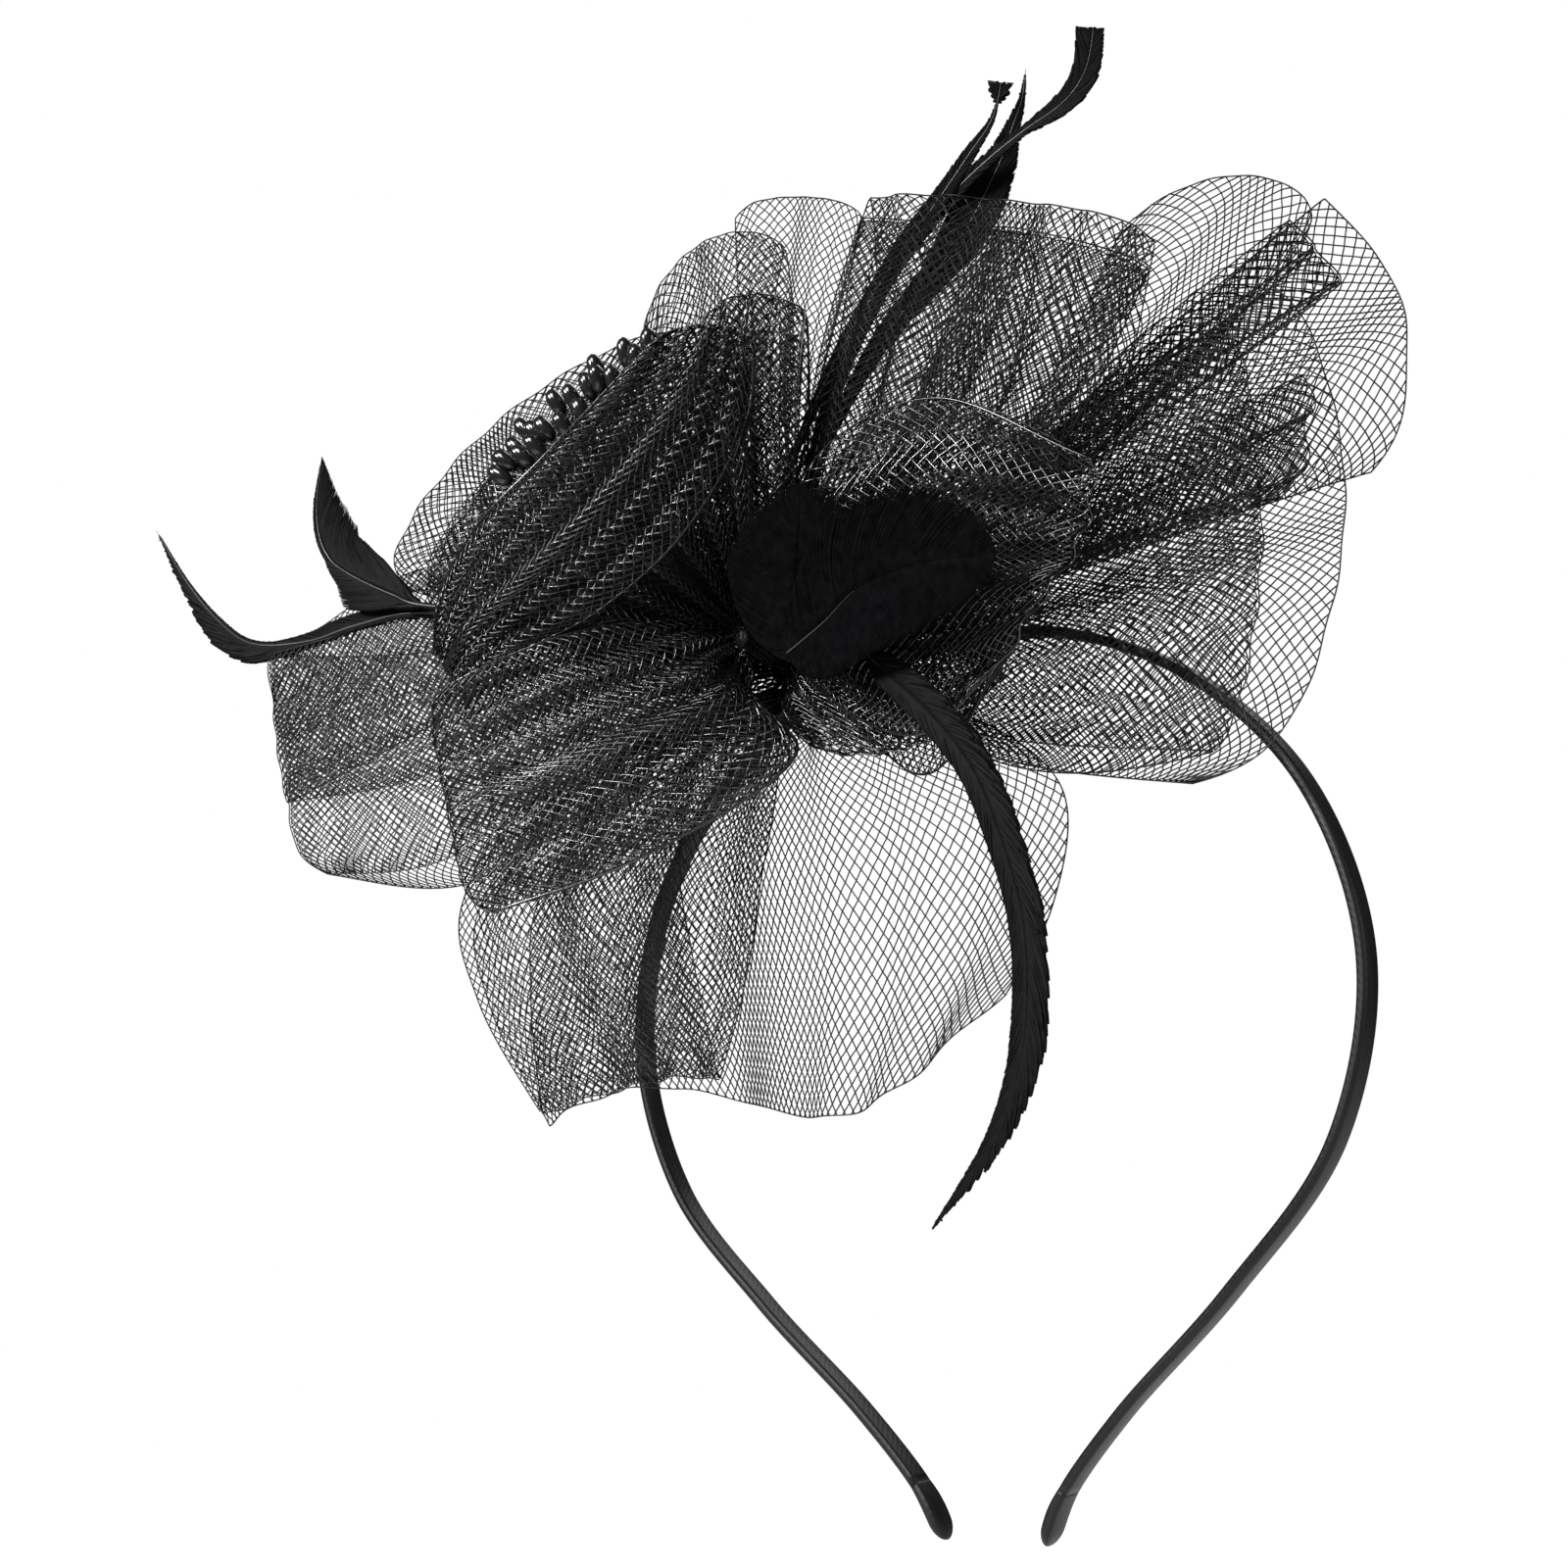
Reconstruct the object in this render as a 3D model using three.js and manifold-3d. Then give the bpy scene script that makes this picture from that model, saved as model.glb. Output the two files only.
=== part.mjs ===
// Fascinator headpiece: a satin-wrapped spring-steel headband that carries a spray of crin (stiff
// nylon mesh) loops, a crin flower with stamens, and feathers, all gathered in one thread binding.
//
// Millimetres. +Z is up, X runs across the head and Y from the front (-Y) to the back (+Y).
// The origin is on the inner face of the band at its crown, where the band sits on the head.
// The spray stands in front of the band, on the -X shoulder.

import * as THREE from 'three';
import { mergeVertices } from 'three/addons/utils/BufferGeometryUtils.js';
import Module from 'manifold-3d';

const wasm = await Module();
wasm.setup();

// ---------------------------------------------------------------- driving dimensions

const BAND_WIDTH = 3.8; // satin cover, front to back
const BAND_THICK = 1.6; // satin cover, inner face to outer face
const CORE_WIDTH = 2.3; // spring-steel strip
const CORE_THICK = 0.5;
const CORE_ROOM = 0.2; // between the strip and the inside of its cover
const BAND_GAP = 0.5; // between the crown and a leg, where the band flexes
const TIP_LENGTH = 9; // satin end cover
const TIP_PROUD = 0.4; // how much wider the end cover is than the band
const TIP_WALL = 2.2; // satin past the end of the bare strip
const TIP_CORE = 3; // the strip stops this far from the band's end
const PIECE_GAP = 0.3; // between neighbouring pieces that touch on the real object
const BAND_STEP = 5; // distance between sections along the band
const BEVEL_SHARE = 0.3; // the strip's corner bevels, as a share of its thickness

const KNOT = new THREE.Vector3(-16, 0, 2); // the binding's axis runs along Y through this point
const NECK_RADIUS = 3.2; // the gathered ends of the mesh
const NECK_BACK = -5;
const NECK_FRONT = -26;
const ROOT_RADIUS = 6; // where each loop leaves the neck
const ROOT_WIDTH = 4.6;
const LASHING_BACK = -8; // the thread wraps round the neck
const LASHING_FRONT = -14;
const LASHING_THICK = 0.8;

const FELT_THICK = 1.4;
const FELT_CENTRE_Z = 5.5;
const BASE_RADIUS = 13; // felt disc in front of the band
const BACKING_RADIUS = 11; // felt disc behind it

// Half of the band's centreline, from the crown's middle to the tip: [x, z].
const BAND_HALF = [
  [3, BAND_THICK / 2],
  [24, -2],
  [46, -13.3],
  [62, -31.5],
  [68, -55.5],
  [61, -79],
  [43, -98],
  [23.5, -114.5],
  [12.5, -126],
  [9, -132.5],
];
const FLEX_ALONG = 0.34; // share of the half band at which the legs flex

// ---------------------------------------------------------------- materials

function fabric(colour, roughness) {
  return new THREE.MeshStandardMaterial({ color: colour, roughness, metalness: 0 });
}

const MATERIALS = {
  satin: fabric(0x17171a, 0.42),
  steel: new THREE.MeshStandardMaterial({ color: 0x8d9196, roughness: 0.35, metalness: 1 }),
  felt: fabric(0x131315, 0.95),
  glue: fabric(0xb9b4a4, 0.3),
  thread: fabric(0x101012, 0.6),
  crin: fabric(0x111113, 0.3),
  feather: fabric(0x0c0c0e, 0.7),
  bead: fabric(0x0e0e10, 0.25),
};

const model = new THREE.Group();

function add(name, geometry, material) {
  const mesh = new THREE.Mesh(geometry, MATERIALS[material]);
  mesh.name = name;
  model.add(mesh);
  return mesh;
}

// ---------------------------------------------------------------- closed bodies from rings

// Every ring of a body has the same even number of points, in the same order round the section.
// The triangles that join one ring to another.
function band(count, low, high) {
  const indices = [];
  for (let i = 0; i < count; i += 1) {
    const next = (i + 1) % count;
    const [a, b] = [low * count + i, low * count + next];
    const [c, d] = [high * count + i, high * count + next];
    indices.push(a, b, c, b, d, c);
  }
  return indices;
}

// The triangles that close a ring. Its last point lies across from its first, so the cap is strips
// between point i and point (count - 1 - i).
function cap(count, ring, flip) {
  const indices = [];
  const base = ring * count;
  for (let i = 0; i + 1 < count / 2; i += 1) {
    const quad = [base + i, base + i + 1, base + count - 2 - i, base + count - 1 - i];
    const corners = flip ? [0, 2, 1, 0, 3, 2] : [0, 1, 2, 0, 2, 3];
    indices.push(...corners.map((k) => quad[k]));
  }
  return indices;
}

function coordinates(rings) {
  return rings.flat().flatMap((p) => [p.x, p.y, p.z]);
}

// One closed body through a stack of rings.
function loft(rings) {
  const count = rings[0].length;
  const indices = [...cap(count, 0, true), ...cap(count, rings.length - 1, false)];
  for (let r = 0; r + 1 < rings.length; r += 1) {
    indices.push(...band(count, r, r + 1));
  }
  return facingOut(coordinates(rings), indices);
}

// A closed body between an outer and an inner stack of rings: a sleeve that is open at its first
// ring, and at its last ring too unless blind is true.
function sleeve(outer, inner, blind = false) {
  const count = outer[0].length;
  const stack = [...outer, ...[...inner].reverse()];
  const last = stack.length - 1;
  const indices = band(count, last, 0);
  for (let r = 0; r < last; r += 1) {
    if (blind && r === outer.length - 1) {
      indices.push(...cap(count, r, false), ...cap(count, r + 1, true));
    } else {
      indices.push(...band(count, r, r + 1));
    }
  }
  return facingOut(coordinates(stack), indices);
}

// A geometry whose faces point out, whichever way round its rings were given.
function facingOut(positions, indices) {
  let volume = 0;
  const point = (k) => new THREE.Vector3().fromArray(positions, indices[k] * 3);
  for (let k = 0; k < indices.length; k += 3) {
    volume += point(k).dot(point(k + 1).cross(point(k + 2)));
  }
  if (volume < 0) {
    for (let k = 0; k < indices.length; k += 3) {
      [indices[k], indices[k + 1]] = [indices[k + 1], indices[k]];
    }
  }
  const geometry = new THREE.BufferGeometry();
  geometry.setAttribute('position', new THREE.Float32BufferAttribute(positions, 3));
  geometry.setIndex(indices);
  return geometry;
}

// ---------------------------------------------------------------- headband

// The half band's centreline on one side, from the crown to the tip.
function bandCurve(side) {
  const points = BAND_HALF.map(([x, z]) => new THREE.Vector3(side * x, 0, z));
  return new THREE.CatmullRomCurve3(points);
}

// A flat strip's section at a point of the half band: eight corners with small bevels, in loft
// order, which is the outer face's row and then the inner face's row back. On the crown's flat
// middle the section is square to X.
function bandSection(curve, along, width, thick) {
  const centre = curve.getPointAt(along);
  const run = along === 0 ? new THREE.Vector3(1, 0, 0) : curve.getTangentAt(along);
  const out = new THREE.Vector3(-run.z, 0, run.x);
  if (out.dot(centre) < 0 || (along === 0 && out.z < 0)) {
    out.negate();
  }
  const bevel = thick * BEVEL_SHARE;
  const [w, t] = [width / 2, thick / 2];
  const corners = [
    [-w, t - bevel],
    [-w + bevel, t],
    [w - bevel, t],
    [w, t - bevel],
    [w, -t + bevel],
    [w - bevel, -t],
    [-w + bevel, -t],
    [-w, -t + bevel],
  ];
  return corners.map(([y, r]) => centre.clone().addScaledVector(out, r).setY(y));
}

function stations(from, to, length) {
  const count = Math.max(2, Math.round(((to - from) * length) / BAND_STEP));
  return Array.from({ length: count + 1 }, (_, i) => from + ((to - from) * i) / count);
}

function bandRings(curve, from, to, width, thick) {
  const places = stations(from, to, curve.getLength());
  return places.map((along) => bandSection(curve, along, width, thick));
}

const CAVITY_WIDTH = CORE_WIDTH + 2 * CORE_ROOM;
const CAVITY_THICK = CORE_THICK + 2 * CORE_ROOM;

function buildCrown() {
  const both = (width, thick) => {
    const left = bandRings(bandCurve(-1), 0, FLEX_ALONG, width, thick).reverse();
    const right = bandRings(bandCurve(1), 0, FLEX_ALONG, width, thick);
    return [...left, ...right];
  };
  const cover = sleeve(both(BAND_WIDTH, BAND_THICK), both(CAVITY_WIDTH, CAVITY_THICK));
  add('band_satin_crown', cover, 'satin');
  add('band_spring_crown', loft(both(CORE_WIDTH, CORE_THICK)), 'steel');
}

function buildLeg(name, side) {
  const curve = bandCurve(side);
  const length = curve.getLength();
  const start = FLEX_ALONG + BAND_GAP / length;
  const satinEnd = 1 - TIP_LENGTH / length;
  const coreEnd = 1 - TIP_CORE / length;
  const outer = bandRings(curve, start, satinEnd, BAND_WIDTH, BAND_THICK);
  const inner = bandRings(curve, start, satinEnd, CAVITY_WIDTH, CAVITY_THICK);
  const strip = bandRings(curve, start, coreEnd, CORE_WIDTH, CORE_THICK);
  add(`band_satin_${name}`, sleeve(outer, inner), 'satin');
  add(`band_spring_${name}`, loft(strip), 'steel');
  add(`tip_cover_${name}`, tipCover(curve), 'satin');
}

// The end cover: a blind satin sleeve over the last stretch of the strip, rounded at its end.
function tipCover(curve) {
  const length = curve.getLength();
  const start = 1 - (TIP_LENGTH - PIECE_GAP) / length;
  const straight = 0.6;
  const shell = [0, 0.3, straight, 0.8, 0.92, 1].map((share) => {
    const past = Math.max(0, share - straight) / (1 - straight);
    const narrowing = Math.sqrt(1 - 0.75 * past ** 2);
    const along = start + (1 - start) * share;
    const width = (BAND_WIDTH + TIP_PROUD) * narrowing;
    return bandSection(curve, along, width, (BAND_THICK + TIP_PROUD) * narrowing);
  });
  const hollow = [start, 1 - TIP_WALL / length].map((along) =>
    bandSection(curve, along, CAVITY_WIDTH, CAVITY_THICK),
  );
  return sleeve(shell, hollow, true);
}

// ---------------------------------------------------------------- base and binding

// A felt disc in the plane of the arch, its near face at the given Y.
function feltDisc(name, radius, nearY) {
  const outline = new THREE.Shape();
  outline.absarc(0, 0, radius, 0, Math.PI * 2, false);
  const geometry = new THREE.ExtrudeGeometry(outline, {
    depth: FELT_THICK,
    bevelEnabled: false,
    curveSegments: 14,
  });
  geometry.rotateX(Math.PI / 2);
  geometry.translate(KNOT.x, nearY, FELT_CENTRE_Z);
  add(name, geometry, 'felt');
}

// A turned body about the binding's axis: the profile is [radius, distance in front of the band].
function turnedOnNeck(profile) {
  const geometry = new THREE.LatheGeometry(
    profile.map(([radius, forward]) => new THREE.Vector2(radius, forward)),
    18,
  );
  geometry.rotateX(Math.PI);
  geometry.translate(KNOT.x, 0, KNOT.z);
  // LatheGeometry turns about Y, so a positive distance has become -Y.
  return geometry;
}

function buildBinding() {
  feltDisc('felt_base', BASE_RADIUS, -BAND_WIDTH / 2 - PIECE_GAP);
  feltDisc('felt_backing', BACKING_RADIUS, BAND_WIDTH / 2 + PIECE_GAP + FELT_THICK);

  // Hot glue between the two discs, above the band, which it holds.
  const glue = new THREE.SphereGeometry(1, 14, 8);
  const [glueLength, glueHeight] = [16, 6.4];
  glue.scale(glueLength / 2, BAND_WIDTH / 2, glueHeight / 2);
  glue.translate(KNOT.x, 0, FELT_CENTRE_Z - PIECE_GAP);
  add('glue_bead', glue, 'glue');

  // The ends of all the mesh pieces, drawn together: wider where they spread over the felt base.
  const [back, front] = [-NECK_BACK, -NECK_FRONT];
  const foot = [
    [0, back],
    [NECK_RADIUS + 1, back],
    [NECK_RADIUS, back + 2],
  ];
  const head = [
    [NECK_RADIUS, front - 1],
    [NECK_RADIUS - 1, front],
    [0, front],
  ];
  add('gathered_neck', turnedOnNeck([...foot, ...head]), 'crin');

  // The thread wraps round the neck, between two layers of loops.
  const inside = NECK_RADIUS + PIECE_GAP / 2;
  const outside = inside + LASHING_THICK;
  const edge = outside - LASHING_THICK / 3;
  const [from, to] = [-LASHING_BACK, -LASHING_FRONT];
  const wraps = [
    [inside, from],
    [edge, from],
    [outside, (from + to) / 2],
    [edge, to],
    [inside, to],
    [inside, from],
  ];
  add('thread_lashing', turnedOnNeck(wraps), 'thread');
}

// ---------------------------------------------------------------- crin loops and petals

const FRONT = new THREE.Vector3(0, -1, 0);
const LOOP_ROWS = 9; // from the neck to the fold
const LOOP_COLUMNS = 6; // across the mesh
const PILLOW_START = 0.1; // the pillow's thickness is a sine hump between these shares of half a turn
const PILLOW_END = 0.92;

// The envelope of one crin loop: mesh goes out from the neck, folds over and comes back, so the
// soft solid is a thin pillow between two edge curves. left and right list the points that each
// edge passes after the neck, bulge rounds the fold outwards, and half is half of the pillow's
// thickness at its middle.
function crinLoop({ name, angle, depth, left, right, bulge = 0, half = 2 }) {
  const turn = THREE.MathUtils.degToRad(angle);
  const out = new THREE.Vector3(Math.cos(turn), 0, Math.sin(turn));
  const across = new THREE.Vector3(Math.sin(turn), 0, -Math.cos(turn));
  const root = KNOT.clone().addScaledVector(out, ROOT_RADIUS).setY(depth);
  const edge = (points, side) => {
    const start = root.clone().addScaledVector(across, (side * ROOT_WIDTH) / 2);
    return new THREE.CatmullRomCurve3([start, ...points.map((p) => new THREE.Vector3(...p))]);
  };
  const edges = [edge(left, -1), edge(right, 1)];
  const ends = edges.map((curve) => curve.getPointAt(1));
  const middle = ends[0].clone().lerp(ends[1], 0.5);
  const reach = middle.clone().sub(root).normalize();
  const normal = ends[1].clone().sub(ends[0]).cross(reach);
  if (normal.length() < 1) {
    normal.copy(FRONT);
  }
  normal.normalize();
  if (normal.dot(FRONT) < 0) {
    normal.negate();
  }

  const rings = [];
  for (let row = 0; row <= LOOP_ROWS; row += 1) {
    const u = row / LOOP_ROWS;
    const [from, to] = edges.map((curve) => curve.getPointAt(u));
    const thickness = half * Math.sin(Math.PI * (PILLOW_START + (PILLOW_END - PILLOW_START) * u));
    const line = [];
    for (let column = 0; column <= LOOP_COLUMNS; column += 1) {
      const v = column / LOOP_COLUMNS;
      const round = bulge * u * u * 4 * v * (1 - v);
      line.push(from.clone().lerp(to, v).addScaledVector(reach, round));
    }
    const near = line.map((p) => p.clone().addScaledVector(normal, thickness));
    const far = line.map((p) => p.clone().addScaledVector(normal, -thickness));
    rings.push([...near, ...far.reverse()]);
  }
  add(name, loft(rings), 'crin');
}

// Loops, from the layer nearest the band to the layer nearest the face. Seen from the front,
// angle is the direction in which the loop leaves the neck and depth is the Y of its root.
const LOOPS = [
  {
    name: 'loop_top_right',
    angle: 42,
    depth: -6.4,
    left: [[25, -3, 31], [42, 1, 58]],
    right: [[43, -2, 25], [71, 2, 45]],
    bulge: 9,
    half: 1.4,
  },
  {
    name: 'loop_top_small',
    angle: 100,
    depth: -8,
    left: [[-23, -12, 42], [-25, -11, 80]],
    right: [[-9, -12, 38], [3, -11, 69]],
    bulge: 3,
    half: 1.4,
  },
  {
    name: 'loop_lower',
    angle: -78,
    depth: -8,
    left: [[-58, -20, -11], [-78, -27, -33], [-57, -32, -70]],
    right: [[10, -16, -16], [32, -17, -39], [22, -24, -63]],
    bulge: 4,
    half: 1.8,
  },
  {
    name: 'loop_right',
    angle: -14,
    depth: -12,
    left: [[39, -13, 23], [74, -10, 34]],
    right: [[18, -11.5, -20], [55, -9, -34]],
    bulge: 7,
    half: 1.8,
  },
  {
    name: 'loop_upper_right',
    angle: 14,
    depth: -9.4,
    left: [[39, -8, 28], [76, -4, 43]],
    right: [[37, -8, 4], [82, -5, 7]],
    bulge: 9,
    half: 1.4,
  },
  {
    name: 'loop_upper_left',
    angle: 118,
    depth: -11.5,
    left: [[-34, -20, 37], [-37, -24, 60]],
    right: [[-17, -16, 36], [-9, -18, 67]],
    bulge: 7,
    half: 1.8,
  },
  {
    name: 'loop_left',
    angle: 190,
    depth: -11.5,
    left: [[-36, -32, -16], [-70, -42, -30], [-95, -52, -26]],
    right: [[-51, -34, 9], [-99, -54, 11]],
    bulge: 3,
    half: 2,
  },
  {
    name: 'loop_back_left',
    angle: 150,
    depth: -15,
    left: [[-58, -27, 17], [-90, -38, 26]],
    right: [[-40, -23, 36], [-36, -28, 55]],
    bulge: 6,
    half: 1.8,
  },
  {
    name: 'loop_top_centre',
    angle: 60,
    depth: -16,
    left: [[-2, -19, 34], [12, -22, 63]],
    right: [[37, -18, 17], [59, -20, 43]],
    bulge: 2,
    half: 2.2,
  },
  {
    name: 'petal_inner_back',
    angle: 146,
    depth: -18.5,
    left: [[-49, -33, 15], [-69, -45, 23]],
    right: [[-26, -28, 31], [-25, -35, 51]],
    bulge: 6,
    half: 1.8,
  },
  {
    name: 'petal_upper',
    angle: 95,
    depth: -18.5,
    left: [[-24, -28, 27], [-18, -34, 52]],
    right: [[-11, -23, 25], [-5, -27, 50]],
    bulge: 4,
    half: 2,
  },
  {
    name: 'petal_right',
    angle: 5,
    depth: -18.5,
    left: [[1, -27, 19], [24, -29, 25], [50, -27, 10]],
    right: [[15, -26, -19], [29, -26, -13], [50, -27, 8]],
    half: 1.6,
  },
  {
    name: 'petal_small_lower',
    angle: -50,
    depth: -15,
    left: [[11, -18.5, -13], [17, -20, -18]],
    right: [[-9, -20, -10], [-6, -21, -17]],
    bulge: 4,
    half: 1.4,
  },
  {
    name: 'petal_flower_front',
    angle: 138,
    depth: -22,
    left: [[-35, -40, 6], [-53, -58, 9]],
    right: [[-10, -34, 25], [-7, -42, 48]],
    bulge: 4,
    half: 2.6,
  },
  {
    name: 'petal_flower_lower',
    angle: 198,
    depth: -22,
    left: [[-6, -26, -19], [-26, -38, -32], [-51, -52, -38]],
    right: [[-37, -38, 1], [-55, -56, -4]],
    half: 2.6,
  },
];

// ---------------------------------------------------------------- feathers and stamens

const FEATHER_ROWS = 14;
const FEATHER_THICK = 0.5;
const FEATHER_END = 0.35; // half width at the two ends
const VANE_POWER = 0.8; // under 1 rounds the vane's outline out from a plain sine

// A feather as a thin blade along a curve, broad side to the front. The vane's half width rises
// and falls smoothly, and a fullness under 1 moves its widest place towards the root.
function feather({ name, path, halfWidth, fullness = 1 }) {
  const curve = new THREE.CatmullRomCurve3(path.map((p) => new THREE.Vector3(...p)));
  const rings = [];
  for (let row = 0; row <= FEATHER_ROWS; row += 1) {
    const u = row / FEATHER_ROWS;
    const centre = curve.getPointAt(u);
    const side = curve.getTangentAt(u).cross(FRONT).normalize();
    const width = FEATHER_END + halfWidth * Math.sin(Math.PI * u ** fullness) ** VANE_POWER;
    rings.push([
      centre.clone().addScaledVector(side, -width),
      centre.clone().addScaledVector(FRONT, FEATHER_THICK / 2),
      centre.clone().addScaledVector(side, width),
      centre.clone().addScaledVector(FRONT, -FEATHER_THICK / 2),
    ]);
  }
  add(name, loft(rings), 'feather');
}

const FEATHERS = [
  { name: 'feather_round_left', path: [[-5, -28, -3], [-2, -30, 9], [2, -31, 20]], halfWidth: 10 },
  { name: 'feather_round_right', path: [[-2, -30, -4], [19, -33, 2], [37, -34, 4]], halfWidth: 12 },
  {
    name: 'feather_drooping',
    path: [[14, -30, -8], [25, -31, -19], [32, -32, -28], [36, -33, -39], [38, -33, -48],
      [38, -34, -57], [36, -34, -67], [31, -34, -76], [19, -34, -88]],
    halfWidth: 2.6,
    fullness: 0.8,
  },
  {
    name: 'feather_top_long',
    path: [[-12.5, -13.5, 11], [-10, -15.3, 24], [-3, -16, 40], [10, -16, 60], [24, -17, 64],
      [35, -18, 66], [44, -18, 69], [50, -18, 72], [52, -18, 75.5], [48, -18, 80]],
    halfWidth: 1.6,
  },
  {
    name: 'feather_top_broad',
    path: [[-16, -13.2, 11], [-13, -13.8, 24], [4, -14, 50], [22, -14, 58], [31, -15, 64],
      [35, -15, 71], [37, -15, 78]],
    halfWidth: 2.8,
  },
  {
    name: 'feather_top_thin',
    path: [[-19, -15.8, 11], [-16, -16.8, 23], [-2, -17.4, 43], [19, -18, 60], [30, -18.5, 69],
      [35, -18.5, 77]],
    halfWidth: 1.2,
  },
  {
    name: 'feather_left_leaf',
    path: [[-26, -25, 6], [-42, -38, 10], [-64, -51, 15], [-71, -52, 18], [-79, -53, 27],
      [-83, -53, 37], [-83, -54, 44]],
    halfWidth: 3.2,
    fullness: 1.5,
  },
  {
    name: 'feather_left_curved',
    path: [[-26, -24, 3.5], [-44, -37.5, 7], [-65, -48, 11], [-87, -51, 14], [-112, -53, 17],
      [-122, -54, 27], [-132, -55, 44]],
    halfWidth: 1.8,
    fullness: 1.3,
  },
];

// The stamen bunch: a wrapped stalk from the neck, and stems that fan out from its end in a small
// grid, each with an oval bead. The beads stand in staggered rows along the flower's open edge.
const STALK = [[-20.6, -20.3, 6], [-23, -24.5, 10.5], [-26, -28.5, 14.5]];
const STALK_RADIUS = 0.55;
const STEM_RADIUS = 0.22;
const STAMEN_ROWS = 4;
const STAMENS_IN_ROW = 5;
const GRID_STEP = 0.85; // between stems where they leave the stalk
const STEM_START = 1.4; // past the stalk's end
const STEM_BOW = 1.6; // the stems bow to the front
const BEAD_RADIUS = 0.95;
const BEAD_LENGTH = 2.8;
const BEAD_EDGE = [new THREE.Vector3(-49, -44, 35), new THREE.Vector3(-18, -40.5, 47.5)];
const ROW_OFFSETS = [-0.8, 1]; // alternate rows stand below and above the edge, in row rises
const BEAD_ROW_RISE = new THREE.Vector3(-1.1, 0.9, 1.6);

// A round bar along a curve, as an extruded circle.
function bar(curve, radius, sides, steps) {
  const circle = new THREE.Shape();
  for (let k = 0; k < sides; k += 1) {
    const angle = (2 * Math.PI * k) / sides;
    const [x, y] = [radius * Math.cos(angle), radius * Math.sin(angle)];
    if (k === 0) {
      circle.moveTo(x, y);
    } else {
      circle.lineTo(x, y);
    }
  }
  return new THREE.ExtrudeGeometry(circle, { steps, bevelEnabled: false, extrudePath: curve });
}

function solidOf(geometry) {
  const bare = geometry.clone();
  bare.deleteAttribute('normal');
  bare.deleteAttribute('uv');
  const merged = mergeVertices(bare, 1e-4);
  const vertProperties = new Float32Array(merged.attributes.position.array);
  const triVerts = new Uint32Array(merged.index.array);
  return new wasm.Manifold(new wasm.Mesh({ numProp: 3, vertProperties, triVerts }));
}

function joined(geometries) {
  const mesh = geometries.map(solidOf).reduce((a, b) => a.add(b)).getMesh();
  const geometry = new THREE.BufferGeometry();
  geometry.setAttribute('position', new THREE.BufferAttribute(mesh.vertProperties, 3));
  geometry.setIndex(new THREE.BufferAttribute(mesh.triVerts, 1));
  return geometry;
}

function stamen(row, place) {
  const stalkEnd = new THREE.Vector3(...STALK[2]);
  const aim = stalkEnd.clone().sub(new THREE.Vector3(...STALK[1])).normalize();
  const across = BEAD_EDGE[1].clone().sub(BEAD_EDGE[0]).projectOnPlane(aim).normalize();
  const rise = aim.clone().cross(across).normalize();
  if (rise.dot(BEAD_ROW_RISE) < 0) {
    rise.negate();
  }
  const start = stalkEnd
    .clone()
    .addScaledVector(aim, STEM_START)
    .addScaledVector(across, (place - (STAMENS_IN_ROW - 1) / 2) * GRID_STEP)
    .addScaledVector(rise, (row - (STAMEN_ROWS - 1) / 2) * GRID_STEP);

  const share = (place + (row + 0.5) / STAMEN_ROWS) / STAMENS_IN_ROW;
  const bead = BEAD_EDGE[0]
    .clone()
    .lerp(BEAD_EDGE[1], share)
    .addScaledVector(BEAD_ROW_RISE, ROW_OFFSETS[row % 2]);
  const bend = start.clone().lerp(bead, 0.5).addScaledVector(FRONT, STEM_BOW);
  const path = new THREE.QuadraticBezierCurve3(start, bend, bead);
  const stem = bar(path, STEM_RADIUS, 4, 5);

  const oval = new THREE.SphereGeometry(1, 7, 5);
  oval.scale(BEAD_RADIUS, BEAD_LENGTH / 2, BEAD_RADIUS);
  const upright = new THREE.Vector3(0, 1, 0);
  oval.applyQuaternion(new THREE.Quaternion().setFromUnitVectors(upright, path.getTangent(1)));
  oval.translate(bead.x, bead.y, bead.z);
  return joined([stem, oval]);
}

function buildStamens() {
  const curve = new THREE.CatmullRomCurve3(STALK.map((p) => new THREE.Vector3(...p)));
  add('stamen_stalk', bar(curve, STALK_RADIUS, 8, 4), 'thread');
  for (let row = 0; row < STAMEN_ROWS; row += 1) {
    for (let place = 0; place < STAMENS_IN_ROW; place += 1) {
      add(`stamen_${row * STAMENS_IN_ROW + place + 1}`, stamen(row, place), 'bead');
    }
  }
}

buildCrown();
buildLeg('left', -1);
buildLeg('right', 1);
buildBinding();
LOOPS.forEach(crinLoop);
FEATHERS.forEach(feather);
buildStamens();

export default model;
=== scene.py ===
import math

import bpy
import numpy as np
from mathutils import Matrix, Vector


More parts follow.
